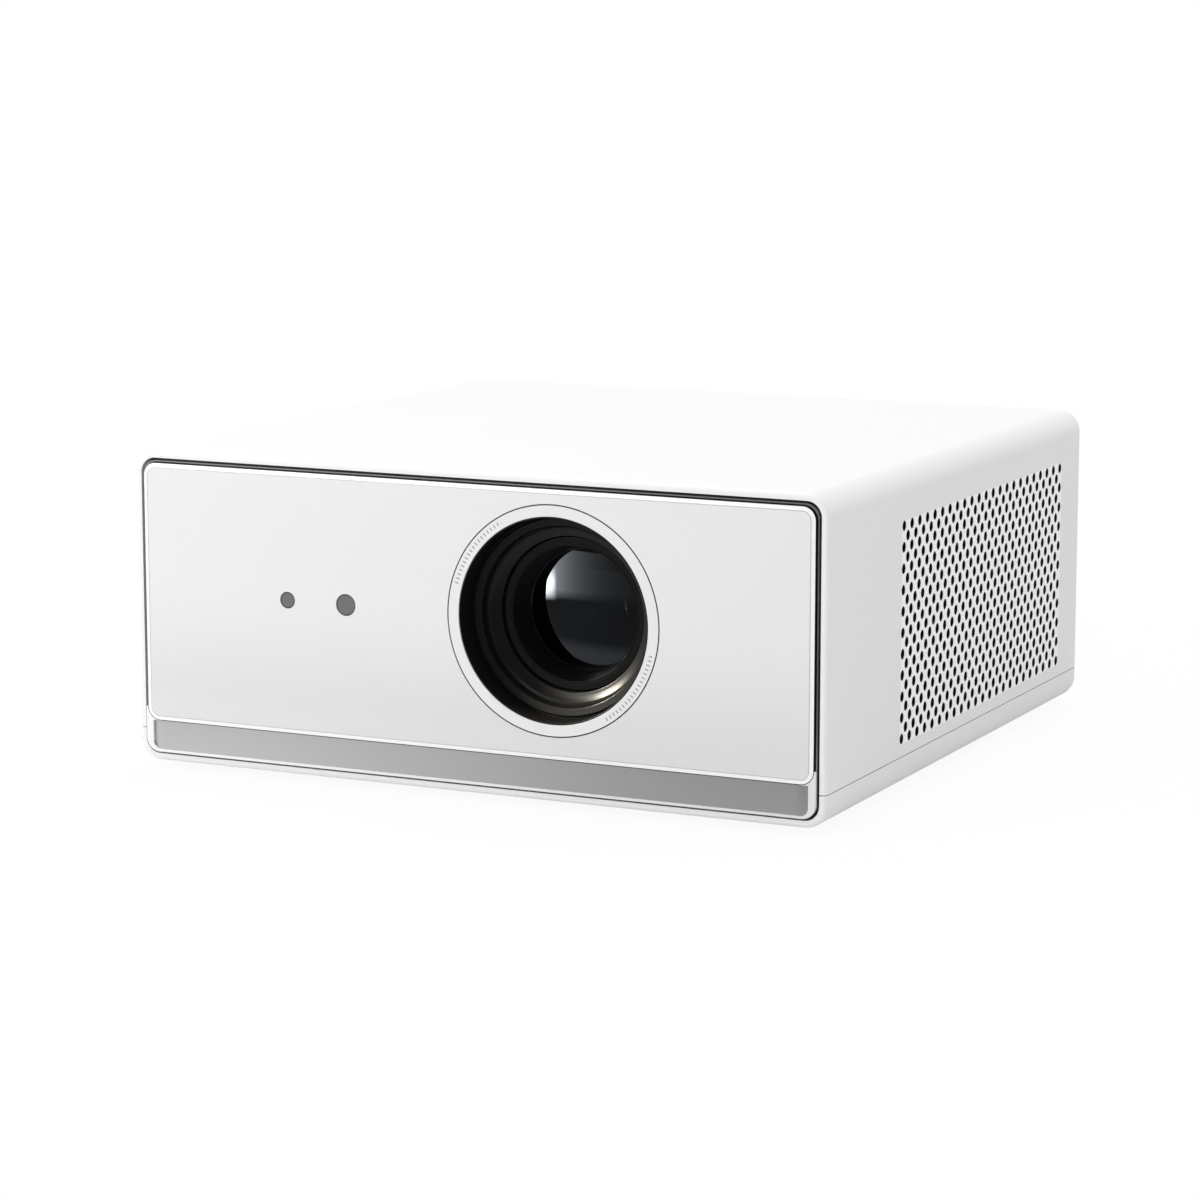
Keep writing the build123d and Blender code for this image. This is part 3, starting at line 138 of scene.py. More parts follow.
# Surface effects
speckle_scale = 900.0
speckle_share = 0.4  # of the fine speckle beside the slow drift
coarse_scale = 0.35  # the larger pebbles of the grain, as a share of its scale
coarse_share = 0.6

# Surroundings
world_level = 0.65
front_dark = 0.12  # in gloss the room behind the camera is dark
front_fade = (-0.1, -0.5)  # between these directions along Y it grows dark
floor_half = 40.0
floor_white = 0.93  # how much of the floor beside the object is replaced by white
floor_reach = (0.15, 0.6)  # between these distances from the object it grows to all of it
gloss_fade = (-0.17, 0.1, 1.0, 0.5)  # in gloss the floor dims from left to right of the object
gloss_reach = (-0.24, -0.29, 1.0, 0.25)  # and away from its front


def middle(node):
    """The middle of a node's box."""
    low, high = (np.array(corner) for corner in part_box(node))
    return (low + high) / 2


lens_axis = middle("lens_hood")


# Meshes
def mesh_piece(name, points, faces, body, smooth=True):
    """A piece from arrays of points and faces, riding on a body."""
    mesh = bpy.data.meshes.new(name)
    mesh.from_pydata(points.reshape(-1, 3).tolist(), [], faces.tolist())
    piece = bpy.data.objects.new(name, mesh)
    bpy.context.scene.collection.objects.link(piece)
    close_mesh(mesh)
    mesh.polygons.foreach_set("use_smooth", [smooth] * len(mesh.polygons))
    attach(piece, body)
    return piece


def close_mesh(mesh):
    """Merges doubled points, bridges open rims and points all faces outwards."""
    work = bmesh.new()
    work.from_mesh(mesh)
    bmesh.ops.remove_doubles(work, verts=work.verts, dist=same_place)
    rims = [edge for edge in work.edges if edge.is_boundary]
    if rims:
        bmesh.ops.bridge_loops(work, edges=rims)
    bmesh.ops.recalc_face_normals(work, faces=work.faces)
    work.to_mesh(mesh)
    work.free()


def strip_faces(rings, around):
    """The quads between neighbouring closed rings of a grid of rings by points around."""
    ring, step = np.meshgrid(np.arange(rings - 1), np.arange(around), indexing="ij")
    after = (step + 1) % around
    quads = (
        ring * around + step, ring * around + after,
        (ring + 1) * around + after, (ring + 1) * around + step,
    )
    return np.stack(quads, -1).reshape(-1, 4)


def rounded(corners):
    """A closed profile with each corner replaced by a small arc, and a point just off each end of the arc.

    The arc is the quadratic curve from one side to the other that has the corner as its handle.
    """
    corners = np.array(corners, float)
    before = np.roll(corners, 1, 0) - corners
    after = np.roll(corners, -1, 0) - corners
    length_before = np.linalg.norm(before, axis=1, keepdims=True)
    length_after = np.linalg.norm(after, axis=1, keepdims=True)
    reach = np.minimum(corner_round, corner_share * np.minimum(length_before, length_after))
    start = corners + before / length_before * reach
    end = corners + after / length_after * reach
    t = np.linspace(0, 1, corner_steps)[None, :, None]
    arc = (1 - t) ** 2 * start[:, None] + 2 * t * (1 - t) * corners[:, None] + t**2 * end[:, None]
    lead = corners + before / length_before * reach * corner_hold
    trail = corners + after / length_after * reach * corner_hold
    return np.concatenate((lead[:, None], arc, trail[:, None]), 1).reshape(-1, 2)


def turned(profile):
    """Points of a profile of (radius, depth) in metres carried round the lens axis.

    x and z are the radius times the cosine and sine of the turn, y is the depth.
    """
    turn = np.arange(turns) / turns * 2 * math.pi
    radius, depth = profile[:, 0, None], profile[:, 1, None]
    x = lens_axis[0] + radius * np.cos(turn)
    z = lens_axis[2] + radius * np.sin(turn)
    return np.stack((x, front_face + depth + 0 * x, z), -1)


def turned_ring(name, corners, body, replaced):
    """A closed ring round the lens from the corners of its profile, with small roundings."""
    profile = rounded(corners) * mm
    profile = np.concatenate((profile, profile[:1]))
    points = turned(profile)
    ring = mesh_piece(name, points, strip_faces(len(profile), turns), body)
    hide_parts(replaced)
    return ring


def lens_dome():
    """The front element: a dome, a narrow land round it, a straight edge and a flat back.

    The dome is part of a sphere: its depth is the crown's plus the sphere's radius less the root of
    that radius squared less the distance from the axis squared.
    """
    sphere = (lens_rim**2 + lens_sag**2) / (2 * lens_sag)
    dome_edge = lens_rim - lens_land
    radius = dome_edge * np.sin(np.linspace(0, math.pi / 2, dome_rings))
    depth = lens_front - lens_sag + sphere - np.sqrt(sphere**2 - radius**2)
    land = depth[-1] + land_drop
    back = lens_front + lens_thickness
    edge = (
        (dome_edge, land), (lens_rim, land), (lens_rim, lens_front),
        (lens_edge, lens_front), (lens_edge, back), (0.0, back),
    )
    profile = np.concatenate((np.stack((radius, depth), -1), edge))
    lens = mesh_piece("lens_dome", turned(profile), strip_faces(len(profile), turns), "barrel")
    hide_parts("front_lens")
    return lens


def hole_centres(low, high):
    """The staggered grid: every other row is shifted half a pitch and has one hole fewer."""
    columns = round((high[1] - low[1] - 2 * grille_border) / hole_pitch) + 1
    rows = round((high[2] - low[2] - 2 * grille_border) / (hole_pitch / 2)) + 1
    row, column = np.meshgrid(np.arange(rows), np.arange(columns), indexing="ij")
    inside = column < columns - row % 2
    row, column = row[inside], column[inside]
    y = low[1] + grille_border + (column + 0.5 * (row % 2)) * hole_pitch
    z = low[2] + grille_border + row * hole_pitch / 2
    return y, z


def cell_rims(y, z, low, high):
    """The outline of each hole's cell: a square on its corner, filled out to the edge at the border.

    Each quarter has a fourth of the points. Inside the field they run straight from one corner of the
    square to the next; at the border they run by way of the outer corner.
    """
    half = hole_pitch / 2
    quarter_steps = hole_sides // 4
    slope = np.linspace(0, 1, quarter_steps + 1)[:quarter_steps]
    by_corner = (np.minimum(2 * slope, 1), np.minimum(2 - 2 * slope, 1))
    quarters = []
    for side_y, side_z in ((1, 1), (-1, 1), (-1, -1), (1, -1)):
        room_y = high[1] - y if side_y > 0 else y - low[1]
        room_z = high[2] - z if side_z > 0 else z - low[2]
        edge_y = room_y < grille_border + same_place
        edge_z = room_z < grille_border + same_place
        reach_y = np.where(edge_y, room_y, half)[:, None]
        reach_z = np.where(edge_z, room_z, half)[:, None]
        squared = (edge_y | edge_z)[:, None]
        across = np.where(squared, by_corner[1], 1 - slope)
        along = np.where(squared, by_corner[0], slope)
        if side_y != side_z:
            across, along = along, across
        quarters.append(np.stack((side_y * reach_y * across, side_z * reach_z * along), -1))
    return np.concatenate(quarters, 1)


def grille_plate():
    """The side plate with round holes.

    Each hole is a stack of rings: the outline of its cell on the outer face, the hole's rounded
    mouth, its wall, and the outline of the cell on the inner face.
    """
    low, high = (np.array(corner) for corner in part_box("side_grille"))
    y, z = hole_centres(low, high)
    rim = cell_rims(y, z, low, high)
    turn = np.arange(hole_sides) / hole_sides * 2 * math.pi
    circle = np.stack((np.cos(turn), np.sin(turn)), -1)[None]
    outer, inner = high[0], low[0]
    rings = [(rim, outer)]
    for angle in np.linspace(0, math.pi / 2, mouth_rings):
        radius = hole_radius + hole_round * (1 - math.sin(angle))
        rings.append((circle * radius, outer - hole_round * (1 - math.cos(angle))))
    rings += [(circle * hole_radius, inner), (rim, inner)]
    points = np.empty((len(y), len(rings), hole_sides, 3))
    for index, (flat, x) in enumerate(rings):
        points[:, index, :, 0] = x
        points[:, index, :, 1] = y[:, None] + flat[..., 0]
        points[:, index, :, 2] = z[:, None] + flat[..., 1]
    one = strip_faces(len(rings), hole_sides)
    faces = one[None] + (np.arange(len(y)) * len(rings) * hole_sides)[:, None, None]
    plate = mesh_piece("hole_plate", points, faces.reshape(-1, 4), "case", smooth=False)
    curved = [abs(face.normal.x) < flat_share for face in plate.data.polygons]
    plate.data.polygons.foreach_set("use_smooth", curved)
    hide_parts("side_grille")
    return plate


# Shader helpers
def node_group(name, inputs, outputs):
    """An empty shader group with named sockets: (name, kind, default) for each input."""
    group = bpy.data.node_groups.new(name, "ShaderNodeTree")
    for label, kind, default in inputs:
        socket = group.interface.new_socket(label, in_out="INPUT", socket_type=kind)
        if default is not None:
            socket.default_value = default
    for label, kind in outputs:
        group.interface.new_socket(label, in_out="OUTPUT", socket_type=kind)
    return group, group.nodes.new("NodeGroupInput"), group.nodes.new("NodeGroupOutput")


def link(tree, source, target):
    tree.links.new(source, target)


def math_node(tree, operation, first, second=None):
    """A Math node whose inputs are sockets or numbers; gives its output."""
    node = tree.nodes.new("ShaderNodeMath")
    node.operation = operation
    for socket, value in zip(node.inputs, (first, second)):
        if value is None:
            continue
        if isinstance(value, (int, float)):
            socket.default_value = value
        else:
            link(tree, value, socket)
    return node.outputs[0]


def map_range(tree, value, limits):
    """A smooth step: the first two limits of the value become the last two."""
    node = tree.nodes.new("ShaderNodeMapRange")
    node.interpolation_type = "SMOOTHSTEP"
    link(tree, value, node.inputs["Value"])
    for label, limit in zip(("From Min", "From Max", "To Min", "To Max"), limits):
        node.inputs[label].default_value = limit
    return node.outputs["Result"]


def noise(tree, vector, scale, detail=2.0):
    """Noise on a vector; gives its value."""
    node = tree.nodes.new("ShaderNodeTexNoise")
    node.inputs["Detail"].default_value = detail
    link(tree, vector, node.inputs["Vector"])
    if isinstance(scale, (int, float)):
        node.inputs["Scale"].default_value = scale
    else:
        link(tree, scale, node.inputs["Scale"])
    return node.outputs["Fac"]


def axes_of(tree, vector):
    """The X, Y and Z sockets of a vector."""
    split = tree.nodes.new("ShaderNodeSeparateXYZ")
    link(tree, vector, split.inputs[0])
    return split.outputs


def diagonal(tree, first, second):
    """The root of the sum of the squares of two values."""
    squares = math_node(tree, "ADD", math_node(tree, "MULTIPLY", first, first),
                        math_node(tree, "MULTIPLY", second, second))
    return math_node(tree, "SQRT", squares)


def off_axis(tree, split, centre):
    """The X and Z of a place less those of a centre, in metres."""
    x = math_node(tree, "SUBTRACT", split["X"], float(centre[0]))
    z = math_node(tree, "SUBTRACT", split["Z"], float(centre[2]))
    return x, z


def tone_group():
    """Slow drift and fine speckle of a colour: it is scaled by one plus or minus the amount."""
    group, source, sink = node_group(
        "soft_tone",
        [("Vector", "NodeSocketVector", None), ("Colour", "NodeSocketColor", (0.8, 0.8, 0.8, 1)),
         ("Amount", "NodeSocketFloat", 0.02), ("Scale", "NodeSocketFloat", 12.0)],
        [("Colour", "NodeSocketColor")],
    )
    slow = noise(group, source.outputs["Vector"], source.outputs["Scale"])
    fine = noise(group, source.outputs["Vector"], speckle_scale)
    both = math_node(group, "ADD", slow, math_node(group, "MULTIPLY", fine, speckle_share))
    centred = math_node(group, "SUBTRACT", both, 0.5 * (1 + speckle_share))
    factor = math_node(group, "ADD", math_node(group, "MULTIPLY", centred, source.outputs["Amount"]), 1.0)
    scaled = group.nodes.new("ShaderNodeVectorMath")
    scaled.operation = "SCALE"
    link(group, source.outputs["Colour"], scaled.inputs[0])
    link(group, factor, scaled.inputs["Scale"])
    link(group, scaled.outputs[0], sink.inputs["Colour"])
    return group


def grain_group():
    """The fine pebble of a spark-eroded mould: noise at two sizes, as a height."""
    group, source, sink = node_group(
        "mould_grain",
        [("Vector", "NodeSocketVector", None), ("Scale", "NodeSocketFloat", 2200.0)],
        [("Height", "NodeSocketFloat")],
    )
    small = noise(group, source.outputs["Vector"], source.outputs["Scale"], detail=3.0)
    wide_scale = math_node(group, "MULTIPLY", source.outputs["Scale"], coarse_scale)
    large = noise(group, source.outputs["Vector"], wide_scale)
    height = math_node(group, "ADD", small, math_node(group, "MULTIPLY", large, coarse_share))
    link(group, height, sink.inputs["Height"])
    return group


def handled_group():
    """Roughness with faint cloudy smears, as on a wiped surface."""
    group, source, sink = node_group(
        "handled_sheen",
        [("Vector", "NodeSocketVector", None), ("Roughness", "NodeSocketFloat", 0.4),
         ("Amount", "NodeSocketFloat", 0.05), ("Scale", "NodeSocketFloat", 25.0)],
        [("Roughness", "NodeSocketFloat")],
    )
    cloud = noise(group, source.outputs["Vector"], source.outputs["Scale"], 4.0)
    drift = math_node(group, "MULTIPLY", math_node(group, "SUBTRACT", cloud, 0.5), source.outputs["Amount"])
    link(group, math_node(group, "ADD", source.outputs["Roughness"], drift), sink.inputs["Roughness"])
    return group


def brushed_group():
    """Fine scratches: noise drawn out along one direction, as a height."""
    group, source, sink = node_group(
        "brushed_lines",
        [("Vector", "NodeSocketVector", None), ("Scale", "NodeSocketFloat", 400.0)],
        [("Height", "NodeSocketFloat")],
    )
    lines = noise(group, source.outputs["Vector"], source.outputs["Scale"], 3.0)
    link(group, lines, sink.inputs["Height"])
    return group


def outline_group():
    """How far inside the glass's rounded outline a point lies, in metres, seen from the front.

    The distance to a rounded rectangle: the part outside the inner rectangle of its corner centres,
    less the corner's radius.
    """
    group, source, sink = node_group(
        "inside_outline", [("Vector", "NodeSocketVector", None)], [("Inside", "NodeSocketFloat")])
    split = axes_of(group, source.outputs["Vector"])
    middle_z = (glass_z[0] + glass_z[1]) / 2
    half_z = (glass_z[1] - glass_z[0]) / 2
    across = math_node(group, "ABSOLUTE", split["X"])
    along = math_node(group, "ABSOLUTE", math_node(group, "SUBTRACT", split["Z"], middle_z))
    across = math_node(group, "SUBTRACT", across, glass_half - glass_corner)
    along = math_node(group, "SUBTRACT", along, half_z - glass_corner)
    beyond_x = math_node(group, "MAXIMUM", across, 0.0)
    beyond_z = math_node(group, "MAXIMUM", along, 0.0)
    within = math_node(group, "MINIMUM", math_node(group, "MAXIMUM", across, along), 0.0)
    outside = math_node(group, "ADD", diagonal(group, beyond_x, beyond_z), within)
    link(group, math_node(group, "SUBTRACT", glass_corner, outside), sink.inputs["Inside"])
    return group


soft_tone = tone_group()
mould_grain = grain_group()
handled_sheen = handled_group()
brushed_lines = brushed_group()
inside_outline = outline_group()


def new_material(name):
    """An empty material with its Principled shader and Object coordinates."""
    material = bpy.data.materials.new(name)
    material.use_nodes = True
    tree = material.node_tree
    shader = tree.nodes["Principled BSDF"]
    place = tree.nodes.new("ShaderNodeTexCoord").outputs["Object"]
    return material, tree, shader, place


def use_group(tree, group, vector, **values):
    """A group in a material, with its values set; gives its first output."""
    node = tree.nodes.new("ShaderNodeGroup")
    node.node_tree = group
    link(tree, vector, node.inputs["Vector"])
    for label, value in values.items():
        socket = node.inputs[label.capitalize()]
        if isinstance(value, bpy.types.NodeSocket):
            link(tree, value, socket)
        else:
            socket.default_value = (*value, 1) if isinstance(value, tuple) else value
    return node.outputs[0]


def add_tone(tree, shader, place, colour, amount):
    """A colour, or a socket that carries one, with faint drift and speckle."""
    link(tree, use_group(tree, soft_tone, place, colour=colour, amount=amount), shader.inputs["Base Color"])


def add_sheen(tree, shader, place, roughness, amount, **values):
    """Roughness with faint smears."""
    sheen = use_group(tree, handled_sheen, place, roughness=roughness, amount=amount, **values)
    link(tree, sheen, shader.inputs["Roughness"])


def add_grain(tree, shader, place, distance, scale=2200.0):
    """The mould's grain, as deep as the distance."""
    add_bump(tree, shader, use_group(tree, mould_grain, place, scale=scale), distance)


def add_bump(tree, shader, height, distance):
    bump = tree.nodes.new("ShaderNodeBump")
    bump.inputs["Strength"].default_value = 1.0
    bump.inputs["Distance"].default_value = distance
    link(tree, height, bump.inputs["Height"])
    link(tree, bump.outputs["Normal"], shader.inputs["Normal"])


def plain_finish(name, colour, roughness, tone=0.03, smear=0.06, depth=4e-6, scale=2200.0, **sockets):
    """A moulded, painted or cast surface: tone drift, smeared sheen and, where it has a depth, grain."""
    material, tree, shader, place = new_material(name)
    add_tone(tree, shader, place, colour, tone)
    add_sheen(tree, shader, place, roughness, smear)
    if depth:
        add_grain(tree, shader, place, depth, scale)
    for label, value in sockets.items():
        shader.inputs[label.replace("_", " ")].default_value = value
    return material


def brushed_metal(name, colour, roughness, stretch, depth=2e-6, metal=1.0):
    """A metal with fine lines along one direction."""
    material, tree, shader, place = new_material(name)
    add_tone(tree, shader, place, colour, 0.04)
    add_sheen(tree, shader, place, roughness, 0.05)
    mapping = tree.nodes.new("ShaderNodeMapping")
    mapping.inputs["Scale"].default_value = stretch
    link(tree, place, mapping.inputs["Vector"])
    add_bump(tree, shader, use_group(tree, brushed_lines, mapping.outputs["Vector"], scale=1200.0), depth)
    shader.inputs["Metallic"].default_value = metal
    return material


def clear_glass(name, colour, tint, roughness=0.0, reflection=0.3):
    """Coated optical glass with faint dust on it."""
    material, tree, shader, place = new_material(name)
    shader.inputs["Base Color"].default_value = (*colour, 1)
    shader.inputs["Transmission Weight"].default_value = 1.0
    shader.inputs["IOR"].default_value = 1.52
    shader.inputs["Specular IOR Level"].default_value = reflection
    shader.inputs["Specular Tint"].default_value = (*tint, 1)
    add_sheen(tree, shader, place, roughness + 0.01, 0.02, scale=300.0)
    return material


def mixed(tree, mask, first, second):
    """A colour that goes from the first to the second with a mask; each is a socket or a colour."""
    mix = tree.nodes.new("ShaderNodeMix")
    mix.data_type = "RGBA"
    link(tree, mask, mix.inputs["Factor"])
    for socket, value in ((mix.inputs["A"], first), (mix.inputs["B"], second)):
        if isinstance(value, tuple):
            socket.default_value = (*value, 1)
        else:
            link(tree, value, socket)
    return mix.outputs["Result"]


def band(tree, value, low, high):
    """One where a value lies between two limits, else nought."""
    return math_node(tree, "MULTIPLY", math_node(tree, "GREATER_THAN", value, low),
                     math_node(tree, "LESS_THAN", value, high))


def glass_material():
    """White back-painted glass, painted darker towards the bottom as painted shade: a ground bevel with a
    fine line along it, and a dark edge behind.
    """
    material, tree, shader, place = new_material("white_glass")
    inside = use_group(tree, inside_outline, place)
    split = axes_of(tree, place)
    # Painted shade: the face darkens from the top of the glass towards its bottom.
    height = map_range(tree, split["Z"], (*glass_shade_heights, 0.0, 1.0))
    face = mixed(tree, height, glass_shaded, glass_lit)
    face = use_group(tree, soft_tone, place, amount=0.012, scale=9.0, colour=face)
    bevel = math_node(tree, "LESS_THAN", inside, bevel_width)
    line = band(tree, inside, bevel_width, bevel_width + bevel_line)
    edge = math_node(tree, "GREATER_THAN", split["Y"], front_face + edge_depth)
    colour = mixed(tree, bevel, face, bevel_white)
    colour = mixed(tree, line, colour, line_grey)
    colour = mixed(tree, edge, colour, near_black)
    link(tree, colour, shader.inputs["Base Color"])
    add_sheen(tree, shader, place, 0.3, 0.05)
    shader.inputs["Coat Weight"].default_value = 1.0
    shader.inputs["Coat Roughness"].default_value = 0.02
    return material


def bezel_material():
    """Anodised metal, black next to the glass and grey outside."""
    material, tree, shader, place = new_material("dark_bezel")
    inside = use_group(tree, inside_outline, place)
    near_glass = math_node(tree, "GREATER_THAN", inside, -bezel_black)
    add_tone(tree, shader, place, mixed(tree, near_glass, bezel_grey, near_black), 0.04)
    add_sheen(tree, shader, place, 0.25, 0.05)
    add_grain(tree, shader, place, 2e-6)
    shader.inputs["Metallic"].default_value = 1.0
    return material


def window_material():
    """Grey glass with a darker ring at each window's edge."""
    material, tree, shader, place = new_material("sensor_glass")
    split = axes_of(tree, place)
    rim = 0.0
    for entry in frame["record"]["subparts"]:
        if entry["material_slot"] != "sensor_glass":
            continue
        low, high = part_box(entry["node"])
        distance = diagonal(tree, *off_axis(tree, split, middle(entry["node"])))
        radius = float(high[0] - low[0]) / 2
        ring = band(tree, distance, radius - window_rim, radius + window_rim)
        rim = math_node(tree, "MAXIMUM", ring, rim)
    add_tone(tree, shader, place, mixed(tree, rim, window_grey, window_dark), 0.03)
    add_sheen(tree, shader, place, 0.3, 0.06)
    shader.inputs["Coat Weight"].default_value = 0.3
    return material


def plate_material():
    """The perforated plate: white outside, paler between the holes, and painted shade inside them, with
    near black hole walls behind the skin.
    """
    material, tree, shader, place = new_material("grille_white")
    low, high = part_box("side_grille")
    split = axes_of(tree, place)
    field = 1.0
    margin = grille_border - hole_radius
    for axis, start, end in (("Y", low[1], high[1]), ("Z", low[2], high[2])):
        within = band(tree, split[axis], start + margin, end - margin)
        field = math_node(tree, "MULTIPLY", within, field)
    web = use_group(tree, soft_tone, place, colour=web_white, amount=0.02)
    wall = use_group(tree, soft_tone, place, colour=shell_white, amount=0.015)
    colour = mixed(tree, field, wall, web)
    # Painted shade: behind the skin the hole walls are near black.
    deep = math_node(tree, "LESS_THAN", split["X"], float(high[0]) - skin)
    link(tree, mixed(tree, deep, colour, hole_shade_black), shader.inputs["Base Color"])
    add_sheen(tree, shader, place, 0.42, 0.06)
    add_grain(tree, shader, place, 2e-6)
    return material


def ring_material():
    """White gloss with a band of fine scale marks on two arcs round the lens, and a dark line at its outer
    edge painted as the shade of the gap round it.
    """
    material, tree, shader, place = new_material("ring_white")
    x, z = off_axis(tree, axes_of(tree, place), lens_axis)
    radius = diagonal(tree, x, z)
    turn = math_node(tree, "DIVIDE", math_node(tree, "ARCTAN2", z, x), 2 * math.pi)
    turn = math_node(tree, "FRACT", math_node(tree, "ADD", turn, 1.0))
    step = math_node(tree, "FRACT", math_node(tree, "MULTIPLY", turn, float(marks_round)))
    marks = math_node(tree, "LESS_THAN", step, mark_share)
    arcs = 0.0
    for start, end in mark_arcs:
        arcs = math_node(tree, "ADD", band(tree, turn, start, end), arcs)
    mask = math_node(tree, "MULTIPLY", marks, band(tree, radius, mark_inner, mark_outer))
    mask = math_node(tree, "MULTIPLY", mask, arcs)
    face = use_group(tree, soft_tone, place, colour=ring_white, amount=0.015)
    marked = mixed(tree, mask, face, mark_grey)
    # Painted shade: the ring's outer edge is painted dark, as the shade of the gap round it.
    outline = math_node(tree, "GREATER_THAN", radius, ring_gap_shade_radius)
    link(tree, mixed(tree, outline, marked, ring_gap_shade), shader.inputs["Base Color"])
    add_sheen(tree, shader, place, 0.2, 0.04)
    return material


def circuit_material():
    """Green solder mask with a faint pattern of tracks."""
    material, tree, shader, place = new_material("circuit_green")
    brick = tree.nodes.new("ShaderNodeTexBrick")
    brick.inputs["Scale"].default_value = 260.0
    brick.inputs["Mortar Size"].default_value = 0.03
    brick.inputs["Color1"].default_value = (0.012, 0.10, 0.045, 1)
    brick.inputs["Color2"].default_value = (0.014, 0.12, 0.05, 1)
    brick.inputs["Mortar"].default_value = (0.03, 0.2, 0.09, 1)
    link(tree, place, brick.inputs["Vector"])
    link(tree, brick.outputs["Color"], shader.inputs["Base Color"])
    add_sheen(tree, shader, place, 0.35, 0.1)
    add_bump(tree, shader, brick.outputs["Fac"], 2e-5)
    return material


def materials():
    """Every finish by the record's slot."""
    return {
        "white_shell": plain_finish("white_shell", shell_white, 0.42, tone=0.015, depth=2e-6),
        "rear_plate": plain_finish("rear_plate", (0.62, 0.63, 0.64), 0.5),
        "white_glass": glass_material(),
        "ring_white": ring_material(),
        "dark_bezel": bezel_material(),
        "polished_trim": brushed_metal("polished_trim", (0.9, 0.9, 0.9), 0.12, (1, 1, 40), metal=0.4),
        "satin_strip": brushed_metal("satin_strip", (0.57, 0.57, 0.565), 0.32, (0.03, 1, 1)),
        "sensor_glass": window_material(),
        "black_plastic": plain_finish("black_plastic", near_black, 0.45),
        "hood_black": plain_finish(
            "hood_black", (0.008, 0.0077, 0.0073), 0.27, tone=0.08, depth=1e-6, Specular_IOR_Level=0.22),
        "lens_glass": clear_glass("lens_glass", (0.002, 0.0024, 0.003), (0.86, 0.92, 1.0), reflection=0.5),
        "mount_metal": plain_finish(
            "mount_metal", (0.06, 0.06, 0.062), 0.45, scale=700.0, depth=2e-5, Metallic=1.0),
        "gear_plastic": plain_finish("gear_plastic", (0.62, 0.6, 0.55), 0.4),
        "motor_steel": brushed_metal("motor_steel", (0.55, 0.55, 0.56), 0.3, (1, 0.05, 1)),
        "clear_sheet": clear_glass("clear_sheet", (0.95, 0.98, 0.98), (1.0, 1.0, 1.0), 0.05),
        "panel_glass": plain_finish("panel_glass", (0.02, 0.02, 0.03), 0.08, depth=0, Coat_Weight=1.0),
        "reflector": brushed_metal("reflector", (0.9, 0.9, 0.9), 0.08, (1, 1, 1), depth=5e-7),
        "copper": brushed_metal("copper", (0.75, 0.36, 0.2), 0.3, (1, 0.1, 1)),
        "fins": brushed_metal("fins", (0.7, 0.7, 0.71), 0.35, (0.05, 1, 1)),
        "circuit_green": circuit_material(),
        "speaker_cone": plain_finish("speaker_cone", (0.03, 0.03, 0.03), 0.7, scale=900.0, depth=3e-5),
        "button_white": plain_finish("button_white", (0.8, 0.8, 0.8), 0.35),
        "foot_rubber": plain_finish("foot_rubber", (0.03, 0.03, 0.03), 0.75, scale=1500.0, depth=1e-5),
        "brass_insert": brushed_metal("brass_insert", (0.72, 0.55, 0.25), 0.3, (1, 1, 0.1)),
        "stem_steel": brushed_metal("stem_steel", (0.56, 0.56, 0.58), 0.3, (1, 1, 8)),
    }


def dress_nodes(finishes):
    """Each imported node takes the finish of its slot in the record."""
    for entry in frame["record"]["subparts"]:
        node = frame["nodes"][entry["node"]]
        for slot in node.material_slots:
            slot.material = finishes[entry["material_slot"]]


# Surroundings
def seen_rays(tree):
    """One for rays from the camera, in gloss and through glass; then one for those in gloss alone."""
    rays = tree.nodes.new("ShaderNodeLightPath")
    glossy = rays.outputs["Is Glossy Ray"]
    seen = math_node(tree, "MAXIMUM", rays.outputs["Is Camera Ray"], glossy)
    return math_node(tree, "MAXIMUM", seen, rays.outputs["Is Transmission Ray"]), glossy


def floor_material():
    """A pale floor that reads as white from the camera and in gloss, and keeps a faint shadow.

    The part of its own light that is replaced by white grows with the distance from the object.
    """
    material, tree, shader, place = new_material("pale_floor")
    pale = use_group(tree, soft_tone, place, colour=(0.9, 0.9, 0.9), amount=0.01, scale=2.0)
    link(tree, pale, shader.inputs["Base Color"])
    shader.inputs["Roughness"].default_value = 0.9
    seen, glossy = seen_rays(tree)
    glow = tree.nodes.new("ShaderNodeEmission")
    mix = tree.nodes.new("ShaderNodeMixShader")
    length = tree.nodes.new("ShaderNodeVectorMath")
    length.operation = "LENGTH"
    link(tree, place, length.inputs[0])
    reach = map_range(tree, length.outputs["Value"], (*floor_reach, floor_white, 1.0))
    split = axes_of(tree, place)
    fade = math_node(tree, "MULTIPLY", map_range(tree, split["X"], gloss_fade),
                     map_range(tree, split["Y"], gloss_reach))
    direct = math_node(tree, "SUBTRACT", 1.0, glossy)
    shown = math_node(tree, "MULTIPLY", glossy, fade)
    link(tree, math_node(tree, "ADD", direct, shown), glow.inputs["Strength"])
    link(tree, math_node(tree, "MULTIPLY", seen, reach), mix.inputs["Fac"])
    link(tree, shader.outputs["BSDF"], mix.inputs[1])
    link(tree, glow.outputs["Emission"], mix.inputs[2])
    link(tree, mix.outputs["Shader"], tree.nodes["Material Output"].inputs["Surface"])
    return material


def floor():
    corners = np.array([(-1, -1, 0), (1, -1, 0), (1, 1, 0), (-1, 1, 0)]) * floor_half
    mesh = bpy.data.meshes.new("floor")
    mesh.from_pydata(corners.tolist(), [], [(0, 1, 2, 3)])
    ground = bpy.data.objects.new("floor", mesh)
    bpy.context.scene.collection.objects.link(ground)
    mesh.materials.append(floor_material())


def soft_light(name, place, target, size, power, colour=(1, 1, 1)):
    """A rectangular lamp at a place, facing its target."""
    lamp = bpy.data.lights.new(name, "AREA")
    lamp.shape = "RECTANGLE"
    lamp.size, lamp.size_y = size
    lamp.energy = power
    lamp.color = colour
    light = bpy.data.objects.new(name, lamp)
    bpy.context.scene.collection.objects.link(light)
    away = np.array(place) - np.array(target)
    tilt = math.acos(away[2] / np.linalg.norm(away))
    light.location = place
    light.rotation_euler = (tilt, 0, math.atan2(away[1], away[0]) + math.pi / 2)
    return light


